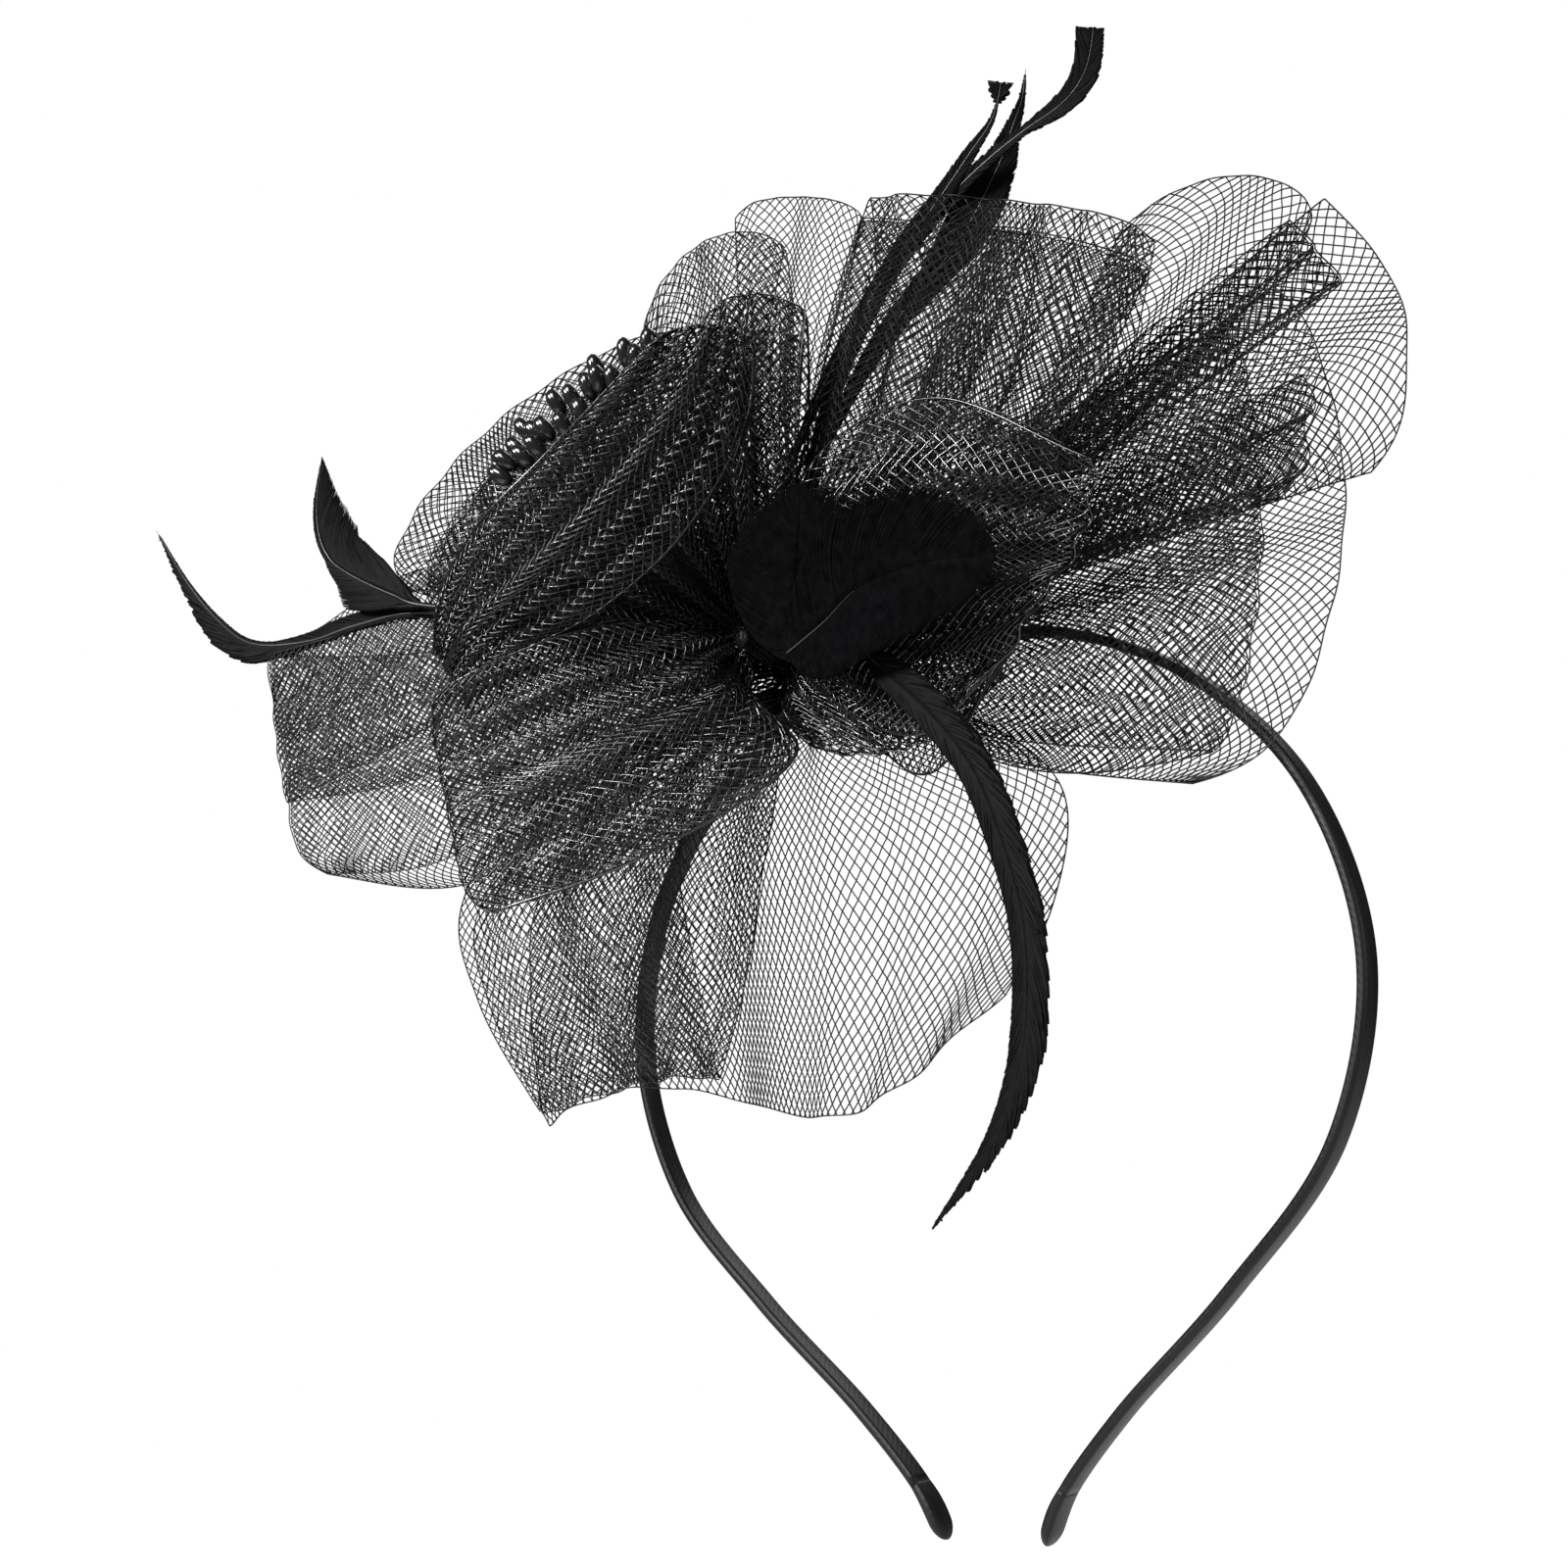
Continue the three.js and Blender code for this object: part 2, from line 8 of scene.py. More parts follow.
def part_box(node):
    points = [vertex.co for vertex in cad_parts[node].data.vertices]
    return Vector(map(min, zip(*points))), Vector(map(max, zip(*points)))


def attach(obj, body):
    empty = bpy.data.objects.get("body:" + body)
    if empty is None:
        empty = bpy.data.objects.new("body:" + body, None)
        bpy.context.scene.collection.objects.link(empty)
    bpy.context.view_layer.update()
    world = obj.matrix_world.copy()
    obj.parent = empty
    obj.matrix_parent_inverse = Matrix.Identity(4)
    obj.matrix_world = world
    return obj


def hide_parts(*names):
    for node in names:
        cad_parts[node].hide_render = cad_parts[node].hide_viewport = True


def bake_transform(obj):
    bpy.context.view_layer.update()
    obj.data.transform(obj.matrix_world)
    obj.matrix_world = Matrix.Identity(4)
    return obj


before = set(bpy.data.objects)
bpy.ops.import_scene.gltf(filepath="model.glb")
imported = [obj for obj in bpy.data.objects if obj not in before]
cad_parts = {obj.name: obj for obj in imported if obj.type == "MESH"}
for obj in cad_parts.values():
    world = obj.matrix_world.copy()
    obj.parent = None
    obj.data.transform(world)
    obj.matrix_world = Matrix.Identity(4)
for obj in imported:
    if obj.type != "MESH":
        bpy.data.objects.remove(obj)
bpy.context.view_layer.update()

# The looks of the fascinator headpiece. Sizes in this script are millimetres until a mesh is made.
MM = 0.001
RANDOM = np.random.default_rng(7)

# ---------------- camera, light and floor

CAMERA_AT = np.array([204.8, -263.4, -85.0])
CAMERA_AIM = np.array([-20.5, -13.3, -18.5])
CAMERA_ROLL = math.radians(-3.4)
CAMERA_LENS = 50.5
FLOOR_Z = -145.5  # the tips reach down to -144 when both legs are open


def unit(v):
    v = np.asarray(v, float)
    return v / np.maximum(np.linalg.norm(v, axis=-1, keepdims=True), 1e-9)


def view_axes():
    """The camera's right, up and forward directions."""
    forward = unit(CAMERA_AIM - CAMERA_AT)
    level = unit(np.cross(forward, (0, 0, 1)))
    upright = np.cross(level, forward)
    turn, lift = math.cos(CAMERA_ROLL), math.sin(CAMERA_ROLL)
    return turn * level + lift * upright, turn * upright - lift * level, forward


def add_object(name, data):
    added = bpy.data.objects.new(name, data)
    bpy.context.scene.collection.objects.link(added)
    return added


def make_camera():
    right, up, forward = view_axes()
    data = bpy.data.cameras.new("camera")
    data.lens = CAMERA_LENS
    data.sensor_width = 36
    data.clip_start = 0.01
    camera = add_object("camera", data)
    turned = Matrix([right, up, -forward]).transposed().to_4x4()
    camera.matrix_world = Matrix.Translation(Vector(CAMERA_AT * MM)) @ turned
    bpy.context.scene.camera = camera


# Each light's distance from the object in metres, how far right, up and forward of it the light is
# as the camera sees it, its size in metres and its power.
LIGHTS = [
    ("key_light", 0.55, (-0.85, 1.1, -0.9), 0.35, 9),
    ("fill_light", 0.75, (1.1, 0.35, -0.6), 0.5, 3),
    ("rim_light", 0.7, (0.5, 1, 0.9), 0.5, 4),
    ("glint_light", 0.75, (-1, 0.4, -0.35), 0.16, 12),
]


def make_lights():
    """Soft square lights that face the object."""
    for name, away, direction, size, power in LIGHTS:
        data = bpy.data.lights.new(name, "AREA")
        data.size = size
        data.energy = power
        light = add_object(name, data)
        place = Vector(away * np.array(direction) @ np.array(view_axes()))
        light.location = Vector(CAMERA_AIM * MM) + place
        light.rotation_euler = (-place).to_track_quat("-Z", "Y").to_euler()
        light.visible_camera = False


def make_world():
    """A white room: what is seen is white, and what lights the object is dimmer."""
    world = bpy.data.worlds.new("studio")
    bpy.context.scene.world = world
    world.use_nodes = True
    tree = world.node_tree
    tree.nodes.clear()
    camera_ray = new_node(tree, "LightPath", "Is Camera Ray")
    lit = new_node(tree, "Background", "Background", Strength=0.08)
    seen = new_node(tree, "Background", "Background", Color=(1, 1, 1, 1))
    mix = tree.nodes.new("ShaderNodeMixShader")
    for socket, source in zip(mix.inputs, (camera_ray, lit, seen)):
        tree.links.new(source, socket)
    set_inputs(tree.nodes.new("ShaderNodeOutputWorld"), Surface=mix.outputs[0])


def make_floor():
    """A pale round floor that fades out into the white of the room."""
    material, tree, shader = new_material("floor_paint", (0.6, 0.6, 0.6), 0.9, Specular_IOR_Level=0.1)
    settings = [("operation", "LENGTH")]
    distance = new_node(tree, "VectorMath", "Value", settings, Vector=coordinates(tree))
    fade = ramp(tree, distance, 0.12, 0.42, (1, 1, 1), (0, 0, 0))
    set_inputs(shader, Alpha=fade, Emission_Color=(1, 1, 1, 1), Emission_Strength=0.62)
    bpy.ops.mesh.primitive_circle_add(
        vertices=96, radius=0.45, fill_type="NGON", location=(0, 0, FLOOR_Z * MM)
    )
    floor = bpy.context.object
    floor.name = "floor"
    floor.data.materials.append(material)


# ---------------- meshes from arrays


def make_mesh(name, points, faces, material, uv=None):
    """An object from points in millimetres and faces, a list of arrays with one row of corners
    for each face."""
    mesh = bpy.data.meshes.new(name)
    mesh.vertices.add(len(points))
    mesh.vertices.foreach_set("co", (np.asarray(points) * MM).astype(np.float32).ravel())
    sizes = np.concatenate([np.full(len(f), f.shape[1]) for f in faces])
    corners = np.concatenate([f.ravel() for f in faces])
    mesh.loops.add(len(corners))
    mesh.loops.foreach_set("vertex_index", corners.astype(np.int32))
    mesh.polygons.add(len(sizes))
    starts = np.concatenate([[0], np.cumsum(sizes)[:-1]])
    mesh.polygons.foreach_set("loop_start", starts.astype(np.int32))
    mesh.polygons.foreach_set("use_smooth", np.full(len(sizes), True))
    if uv is not None:
        layer = mesh.uv_layers.new(name="along")
        layer.data.foreach_set("uv", uv[corners].astype(np.float32).ravel())
    mesh.update(calc_edges=True)
    mesh.materials.append(material)
    return add_object(name, mesh)


def add_piece(name, shape, material, node, body="crown", uv=None):
    """A mesh that rides on a body and stands for a CAD node. shape is its points and faces."""
    piece = make_mesh(name, *shape, MATERIALS[material], uv)
    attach(piece, body)
    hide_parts(node)
    return piece


def rods(points, owner, facing, half_width, half_height=None, sides=4):
    """Closed rods along polylines. The points are in path order, owner numbers their paths, and
    facing is the direction of each point's half_height."""
    count = len(points)
    half_height = half_width if half_height is None else half_height
    half_width = np.broadcast_to(half_width, count)
    half_height = np.broadcast_to(half_height, count)
    change = owner[1:] != owner[:-1]
    start, end = np.r_[True, change], np.r_[change, True]
    index = np.arange(count)
    before, after = np.where(start, index, index - 1), np.where(end, index, index + 1)
    tangent = unit(points[after] - points[before])
    across = unit(np.cross(tangent, facing))
    up = np.cross(across, tangent)
    turns = 2 * math.pi * np.arange(sides) / sides
    ring = points[:, None] + (
        np.cos(turns)[None, :, None] * (half_width[:, None] * across)[:, None]
        + np.sin(turns)[None, :, None] * (half_height[:, None] * up)[:, None]
    )
    a = (index[~end] * sides)[:, None]
    k, following = np.arange(sides), (np.arange(sides) + 1) % sides
    quads = np.stack([a + k, a + sides + k, a + sides + following, a + following], axis=-1)
    first = index[start][:, None] * sides + k
    last = index[end][:, None] * sides + k[::-1]
    return ring.reshape(-1, 3), [quads.reshape(-1, 4), np.concatenate([first, last])]


def rod(line, facing, half_width, half_height=None, sides=4):
    return rods(line, np.zeros(len(line)), facing, half_width, half_height, sides)


def merged(parts):
    """Several (points, faces) as one."""
    points, faces, base = [], [], 0
    for own_points, own_faces in parts:
        points.append(own_points)
        faces.extend(f + base for f in own_faces)
        base += len(own_points)
    return np.concatenate(points), faces


# ---------------- curves


def spline(points, count=240):
    """Evenly spaced points along a centripetal Catmull-Rom curve, as the CAD model has it."""
    p = np.asarray(points, float)
    p = np.vstack([2 * p[0] - p[1], p, 2 * p[-1] - p[-2]])
    fine = []
    for i in range(1, len(p) - 2):
        d0, d1, d2 = (max(np.linalg.norm(p[j + 1] - p[j]) ** 0.5, 1e-4) for j in (i - 1, i, i + 1))
        t1 = (p[i] - p[i - 1]) / d0 - (p[i + 1] - p[i - 1]) / (d0 + d1) + (p[i + 1] - p[i]) / d1
        t2 = (p[i + 1] - p[i]) / d1 - (p[i + 2] - p[i]) / (d1 + d2) + (p[i + 2] - p[i + 1]) / d2
        t1, t2 = t1 * d1, t2 * d1
        t = np.linspace(0, 1, 40, endpoint=False)[:, None]
        fine.append(
            p[i]
            + t1 * t
            + (-3 * p[i] + 3 * p[i + 1] - 2 * t1 - t2) * t**2
            + (2 * p[i] - 2 * p[i + 1] + t1 + t2) * t**3
        )
    fine = np.vstack([*fine, p[-2:-1]])
    return resampled(fine, count)


def lengths(points):
    return np.r_[0, np.cumsum(np.linalg.norm(np.diff(points, axis=0), axis=1))]


def resampled(points, count):
    run = lengths(points)
    return at(points, np.linspace(0, run[-1], count), run)


def at(points, where, run=None):
    """Points of a polyline at distances along it, or at shares of it if run isn't given."""
    run = np.linspace(0, 1, len(points)) if run is None else run
    return np.stack([np.interp(where, run, points[:, k]) for k in range(3)], axis=-1)


def smooth_step(x):
    x = np.clip(x, 0, 1)
    return x * x * (3 - 2 * x)


# ---------------- materials


def set_inputs(node, **inputs):
    """Links or sets a node's inputs. An input's name is written with its spaces as underscores."""
    for key, value in inputs.items():
        socket = node.inputs[key.replace("_", " ")]
        if isinstance(value, bpy.types.NodeSocket):
            node.id_data.links.new(value, socket)
        else:
            socket.default_value = value


def new_material(name, colour, roughness, **inputs):
    """A material with plain values, and its node tree and shader for what is added."""
    material = bpy.data.materials.new(name)
    material.use_nodes = True
    shader = material.node_tree.nodes["Principled BSDF"]
    set_inputs(shader, Base_Color=(*colour, 1), Roughness=roughness, **inputs)
    return material, material.node_tree, shader


def new_node(tree, kind, output, settings=(), **inputs):
    """The output of a new shader node. settings holds (name, value) pairs of the node's own."""
    node = tree.nodes.new("ShaderNode" + kind)
    for key, value in settings:
        setattr(node, key, value)
    set_inputs(node, **inputs)
    return node.outputs[output]


def coordinates(tree, kind="Object", scale=(1, 1, 1)):
    """Object or UV coordinates times scale."""
    source = new_node(tree, "TexCoord", kind)
    return new_node(tree, "Mapping", "Vector", Vector=source, Scale=scale)


def noise(tree, vector, scale, detail=4.0):
    return new_node(tree, "TexNoise", "Fac", Vector=vector, Scale=scale, Detail=detail)


def wave(tree, vector, scale, direction):
    settings = [("bands_direction", direction)]
    return new_node(tree, "TexWave", "Fac", settings, Vector=vector, Scale=scale)


def ramp(tree, fac, low, high, dark, light):
    colour = new_node(tree, "ValToRGB", "Color", Fac=fac)
    for element, place, value in zip(colour.node.color_ramp.elements, (low, high), (dark, light)):
        element.position = place
        element.color = (*value, 1)
    return colour


def mixed(tree, kind, a, b):
    """Two outputs added or multiplied. The second may be a number."""
    node = tree.nodes.new("ShaderNodeMath")
    node.operation = kind
    tree.links.new(a, node.inputs[0])
    if isinstance(b, float):
        node.inputs[1].default_value = b
    else:
        tree.links.new(b, node.inputs[1])
    return node.outputs[0]


def bump(tree, shader, height, depth, strength=1.0):
    normal = new_node(tree, "Bump", "Normal", Strength=strength, Distance=depth, Height=height)
    set_inputs(shader, Normal=normal)


def satin_material():
    """Satin ribbon: fine warp threads along the band, and faint slubs."""
    material, tree, shader = new_material(
        "satin", (0.012, 0.012, 0.013), 0.4, Specular_IOR_Level=0.18
    )
    along = coordinates(tree, "UV")
    threads = wave(tree, along, 900, "Y")
    weft = wave(tree, along, 520, "DIAGONAL")
    slubs = noise(tree, coordinates(tree, "UV", (40, 900, 1)), 2.0)
    height = mixed(tree, "ADD", mixed(tree, "ADD", threads, weft), slubs)
    bump(tree, shader, height, 0.00002, 0.6)
    colour = ramp(tree, slubs, 0.3, 0.75, (0.002, 0.002, 0.0025), (0.007, 0.007, 0.0075))
    rough = mixed(tree, "ADD", mixed(tree, "MULTIPLY", slubs, 0.25), 0.3)
    set_inputs(shader, Base_Color=colour, Roughness=rough)
    return material


def steel_material():
    material, tree, shader = new_material("spring_steel", (0.55, 0.57, 0.59), 0.35, Metallic=1.0)
    streaks = noise(tree, coordinates(tree, "UV", (20, 1500, 1)), 2.0)
    bump(tree, shader, streaks, 0.00001)
    rough = mixed(tree, "ADD", mixed(tree, "MULTIPLY", streaks, 0.3), 0.2)
    set_inputs(shader, Roughness=rough)
    return material


def felt_material():
    material, tree, shader = new_material("felt", (0.015, 0.015, 0.017), 0.95, Sheen_Weight=0.3)
    fibres = noise(tree, coordinates(tree), 2600, 8)
    bump(tree, shader, fibres, 0.0002)
    colour = ramp(tree, fibres, 0.35, 0.7, (0.006, 0.006, 0.007), (0.028, 0.028, 0.031))
    set_inputs(shader, Base_Color=colour)
    return material


def glue_material():
    material, tree, shader = new_material("hot_glue", (0.008, 0.0075, 0.007), 0.4, Coat_Weight=0.1)
    blobs = noise(tree, coordinates(tree), 400, 2)
    bump(tree, shader, blobs, 0.0004)
    return material


def thread_material():
    material, tree, shader = new_material("thread", (0.012, 0.012, 0.013), 0.55)
    ply = wave(tree, coordinates(tree, "UV"), 700, "DIAGONAL")
    bump(tree, shader, ply, 0.00005)
    return material


def bead_material():
    material, tree, shader = new_material("stamen", (0.008, 0.008, 0.009), 0.16)
    set_inputs(shader, Coat_Weight=0.4, Coat_Roughness=0.08)
    dimples = noise(tree, coordinates(tree), 900, 2)
    bump(tree, shader, dimples, 0.00006)
    return material


def feather_material(name, shine, sheen, roughness):
    """Dyed feather: barbs a little uneven in blackness, with a soft sheen."""
    material, tree, shader = new_material(name, (0.006, 0.006, 0.007), roughness)
    set_inputs(shader, Specular_IOR_Level=shine, Sheen_Weight=sheen, Sheen_Roughness=0.35)
    mottle = noise(tree, coordinates(tree), 700, 3)
    colour = ramp(tree, mottle, 0.3, 0.7, (0.0006, 0.0006, 0.0008), (0.0026, 0.0026, 0.003))
    set_inputs(shader, Base_Color=colour)
    return material


def quill_material():
    material, tree, shader = new_material("quill", (0.03, 0.029, 0.027), 0.35)
    grain = noise(tree, coordinates(tree), 1500, 3)
    bump(tree, shader, grain, 0.00003)
    return material


def crin_material(name, roughness, shine):
    """Extruded nylon filament: smooth and black, so its values are plain."""
    return new_material(name, (0.002, 0.002, 0.0025), roughness, Specular_IOR_Level=shine)[0]


MATERIALS = {
    "satin": satin_material(),
    "steel": steel_material(),
    "felt": felt_material(),
    "glue": glue_material(),
    "thread": thread_material(),
    "bead": bead_material(),
    "pad": feather_material("feather_pad", 0.015, 0.0, 0.8),
    "coque": feather_material("feather_coque", 0.06, 0.005, 0.6),
    "quill": quill_material(),
    "net": crin_material("crin_net", 0.4, 0.25),
    "petal": crin_material("crin_petal", 0.22, 0.75),
}

# ---------------- crin loops and petals

KNOT = np.array([-16.0, 0, 2])
ROOT_RADIUS = 6
ROOT_WIDTH = 4.6
NECK_RADIUS = 2.9
FRONT = np.array([0.0, -1, 0])


def crin_frame(left, right, angle=0, depth=0, root=ROOT_WIDTH, loose=False, **_):
    """The two edge curves of a loop, the direction in which it reaches and the way it faces. A
    loose one's edges are whole; the others begin at the neck."""
    turn = math.radians(angle)
    out = np.array([math.cos(turn), 0, math.sin(turn)])
    across = np.array([math.sin(turn), 0, -math.cos(turn)])
    start, neck = KNOT + ROOT_RADIUS * out, KNOT + NECK_RADIUS * out
    start[1] = neck[1] = depth
    edges = []
    for side, points in ((-1, left), (1, right)):
        begun = [neck + side * 0.3 * root * across, start + side * 0.5 * root * across]
        edges.append(spline([*([] if loose else begun), *points]))
    ends = [edge[-1] for edge in edges]
    reach = unit((ends[0] + ends[1]) / 2 - (edges[0][0] + edges[1][0]) / 2)
    middle = [edge[len(edge) * 3 // 4] for edge in edges]
    normal = np.cross(middle[1] - middle[0], reach)
    normal = FRONT.copy() if np.linalg.norm(normal) < 1 else unit(normal)
    return edges, reach, normal if normal @ FRONT > 0 else -normal


# A gathered ribbon meanders: in each pleat its heading swings to one side and back. For each
# amplitude of the swing, SHORTENED is the share of the ribbon's width that is left, and SIDEWAYS
# and HEIGHT are how far a pleat departs from the straight, for a pleat 2 pi long.
SWINGS = np.linspace(0, 2.3, 24)
PLEAT_STEPS = 96
STATIONS = 60  # places along a ribbon where its loop's width is measured
SELVAGE_STEP = 0.8


def pleat_tables():
    turn = np.linspace(0, 2 * math.pi, PLEAT_STEPS + 1)
    heading = SWINGS[:, None] * np.sin(turn)

    def running(values):
        steps = (values[:, 1:] + values[:, :-1]) / 2 * turn[1]
        return np.c_[np.zeros(len(values)), np.cumsum(steps, axis=1)]

    shortened = running(np.cos(heading))[:, -1] / (2 * math.pi)
    sideways = running(np.cos(heading) - shortened[:, None])
    height = running(np.sin(heading))
    return shortened, sideways, height - height.mean(axis=1, keepdims=True)


SHORTENED, SIDEWAYS, HEIGHT = pleat_tables()


def pleated(table, swing, turns):
    """A pleat table's values at swings and at places given in whole pleats."""
    row = np.interp(swing, SWINGS, np.arange(len(SWINGS)))
    column = (turns % 1) * PLEAT_STEPS
    i = np.minimum(row.astype(int), len(SWINGS) - 2)
    k = np.minimum(column.astype(int), PLEAT_STEPS - 1)
    row, column = row - i, column - k
    return (
        table[i, k] * (1 - row) * (1 - column) + table[i + 1, k] * row * (1 - column)
        + table[i, k + 1] * (1 - row) * column + table[i + 1, k + 1] * row * column
    )


class Leaf:
    """One ribbon of crin in a loop: it leaves the neck, and either folds over at its end and
    comes back, or ends there. s runs along the ribbon and t across it. Where the loop is narrower
    than the ribbon, the ribbon lies in pleats near the neck, and hold is the share of them that
    still stands further out."""

    def __init__(self, spec, height, reach_to=1.0, span=(0, 1), shape=None, fullness=1.08, pleats=6,
                 drift=0.4, folded=True, skew=0.0, waves=(0, 1, 0), lift=0.0, hold=0.1,
                 glossy=False, mesh=1.0):
        spec = {**spec, **(shape or {})}
        self.edges, self.reach, self.normal = crin_frame(**spec)
        self.bulge, self.rim = spec.get("bulge", 0), spec.get("rim", (0, 1, 0))
        self.corners = spec.get("corners", (0.06, 0.06))
        self.reach_to, self.span = reach_to, span
        self.folded, self.skew, self.lift, self.waves = folded, skew, lift, waves
        self.pleats, self.drift, self.hold = pleats, drift, hold
        self.glossy, self.mesh = glossy, mesh
        self.stations = np.linspace(0, 1, STATIONS)
        low, middle, high = (
            self.flat_place(self.stations * reach_to, np.full(STATIONS, v))
            for v in (span[0], sum(span) / 2, span[1])
        )
        self.chords = np.linalg.norm(high - low, axis=1)
        self.ribbon_width = fullness * self.chords.max()
        self.reach_length = lengths(middle)[-1]
        self.phase = 0.37 * self.reach_length
        t = np.linspace(0, 1, 400)
        u = 1 - (1 - t) ** 2
        rise = np.sin(math.pi * (0.08 + 0.84 * u)) * np.sqrt(1 - u**14)
        out = np.stack([u * self.reach_length, height * rise], axis=1)
        if folded:
            out = np.vstack([out, (out * (1, -1))[-2::-1]])
        self.run = lengths(out)
        self.length = self.run[-1]
        self.profile = out

    def flat_place(self, u, v):
        """Points of the flat loop, u of the way out and v of the way across."""
        corner = np.where(v < 0.5, self.corners[0], self.corners[1])
        u = u * (1 - corner * u**4 * np.abs(2 * v - 1) ** 8)
        left, right = (at(edge, u) for edge in self.edges)
        amount, number, phase = self.rim
        swell = self.bulge * 4 * v * (1 - v) + amount * np.sin(2 * math.pi * (number * v + phase))
        bulge = (swell * u * u)[:, None] * self.reach
        return left * (1 - v)[:, None] + right * v[:, None] + bulge

    def surface(self, s, t):
        u = np.interp(s, self.run, self.profile[:, 0]) / self.reach_length
        rise = np.interp(s, self.run, self.profile[:, 1])
        share = t / self.ribbon_width
        share = share + 0.03 * np.sin(2 * math.pi * share) - 0.02 * np.sin(4 * math.pi * share)
        left_over = np.interp(u, self.stations, self.chords) / self.ribbon_width
        held = self.hold + (1 - self.hold) * (1 - smooth_step(u / 0.5))
        left_over = 1 - (1 - left_over) * held
        swing = np.interp(-left_over, -SHORTENED, SWINGS)
        begin = self.phase + self.drift * s / self.length
        turns = self.pleats * share + begin
        side = pleated(SIDEWAYS, swing, turns) - pleated(SIDEWAYS, swing, begin)
        pleat = 1 / (2 * math.pi * self.pleats)
        v = share + pleat * side / np.maximum(left_over, SHORTENED[-1])
        tight = 0.45 + 0.55 * smooth_step(u / 0.4)
        height = pleat * self.ribbon_width * pleated(HEIGHT, swing, turns) * tight
        amount, number, phase = self.waves
        height = height + amount * u * u * np.sin(2 * math.pi * (number * share + phase))
        height = height + rise + self.lift * np.sin(math.pi * u)
        v = self.span[0] + (self.span[1] - self.span[0]) * v
        shift = self.skew * np.sin(math.pi * u) * (s > self.length / 2) / self.chords.max()
        return self.flat_place(u * self.reach_to, v + shift) + height[:, None] * self.normal

    def surface_normal(self, s, t):
        step = 0.15
        s_low, s_high = np.maximum(s - step, 0), np.minimum(s + step, self.length)
        t_low, t_high = np.maximum(t - step, 0), np.minimum(t + step, self.ribbon_width)
        along = self.surface(s_high, t) - self.surface(s_low, t)
        over = self.surface(s, t_high) - self.surface(s, t_low)
        return unit(np.cross(along, over))


def braid_lines(length, width, pitch):
    """The filaments of a braid as (s, t, number) samples: two diagonal families, each sampled
    where it crosses the other, and at its ends. Also the weave: 1 over, -1 under."""
    step = pitch * math.sqrt(2)
    half = step / 2
    s_all, t_all, owner, weave = [], [], [], []
    number = 0
    for direction in (1, -1):
        first = -math.ceil(length / step) if direction > 0 else 0
        last = math.ceil(width / step) if direction > 0 else math.ceil((width + length) / step)
        for k in range(first, last + 1):
            t0 = (k + 0.5) * step
            bounds = sorted(((0 - t0) / direction, (width - t0) / direction))
            low, high = max(0.0, bounds[0]), min(length, bounds[1])
            if high - low < half:
                continue
            inside = half * np.arange(math.floor(low / half) + 1, math.ceil(high / half))
            s = np.concatenate([[low], inside, [high]])
            s_all.append(s)
            t_all.append(np.clip(t0 + direction * s, 0, width))
            weave.append(direction * np.cos(math.pi * s / half))
            owner.append(np.full(len(s), number))
            number += 1
    return tuple(np.concatenate(x) for x in (s_all, t_all, owner, weave))


def braid(leaf, pitch, radius, sides, edge_radius, amplitude):
    """The filaments of a ribbon with its two selvages and its end, and for each of their points
    whether it's on the glossy front of the loop."""
    s, t, owner, weave = braid_lines(leaf.length, leaf.ribbon_width, pitch)
    normal = leaf.surface_normal(s, t)
    points = leaf.surface(s, t) + (amplitude * weave)[:, None] * normal
    parts, along = [rods(points, owner, normal, radius, sides=sides)], [s]
    fold = leaf.length / (2 if leaf.folded else 1)
    s_edge, t_edge = (
        np.linspace(0, size, max(8, int(size / SELVAGE_STEP)))
        for size in (leaf.length, leaf.ribbon_width)
    )
    borders = [(s_edge, np.full(len(s_edge), float(t))) for t in (0, leaf.ribbon_width)]
    borders.append((np.full(len(t_edge), fold), t_edge))
    for s, t in borders:
        facing = leaf.surface_normal(s, t)
        parts.append(rod(leaf.surface(s, t), facing, edge_radius, sides=sides))
        along.append(s)
    return parts, np.repeat((np.concatenate(along) <= fold) & leaf.glossy, sides)


NET = {"pitch": 1.3, "radius": 0.12, "sides": 3, "edge_radius": 0.13, "amplitude": 0.07}
CLOSE_NET = {"pitch": 1.15, "radius": 0.12, "sides": 4, "edge_radius": 0.16, "amplitude": 0.12}
FACE_NET = {"pitch": 1.35, "radius": 0.14, "sides": 4, "edge_radius": 0.17, "amplitude": 0.06}


def make_crin(name, spec, leaves, net):
    """One loop or petal."""
    parts, flat, glossy = [], [], []
    for leaf_spec in leaves:
        leaf = Leaf(spec, **leaf_spec)
        own = FACE_NET if leaf.glossy else net
        made, shining = braid(leaf, **{**own, "pitch": own["pitch"] * leaf.mesh})
        parts.extend(made)
        glossy.append(shining)
        flat.append((leaf.ribbon_width, leaf.length))
    points, faces = merged(parts)
    piece = add_piece(name + "_net", (points, faces), "net", name)
    piece.data.materials.append(MATERIALS["petal"])
    glossy = np.concatenate(glossy)
    shining = np.concatenate([glossy[f[:, 0]] for f in faces])
    piece.data.polygons.foreach_set("material_index", shining.astype(np.int32))
    return piece


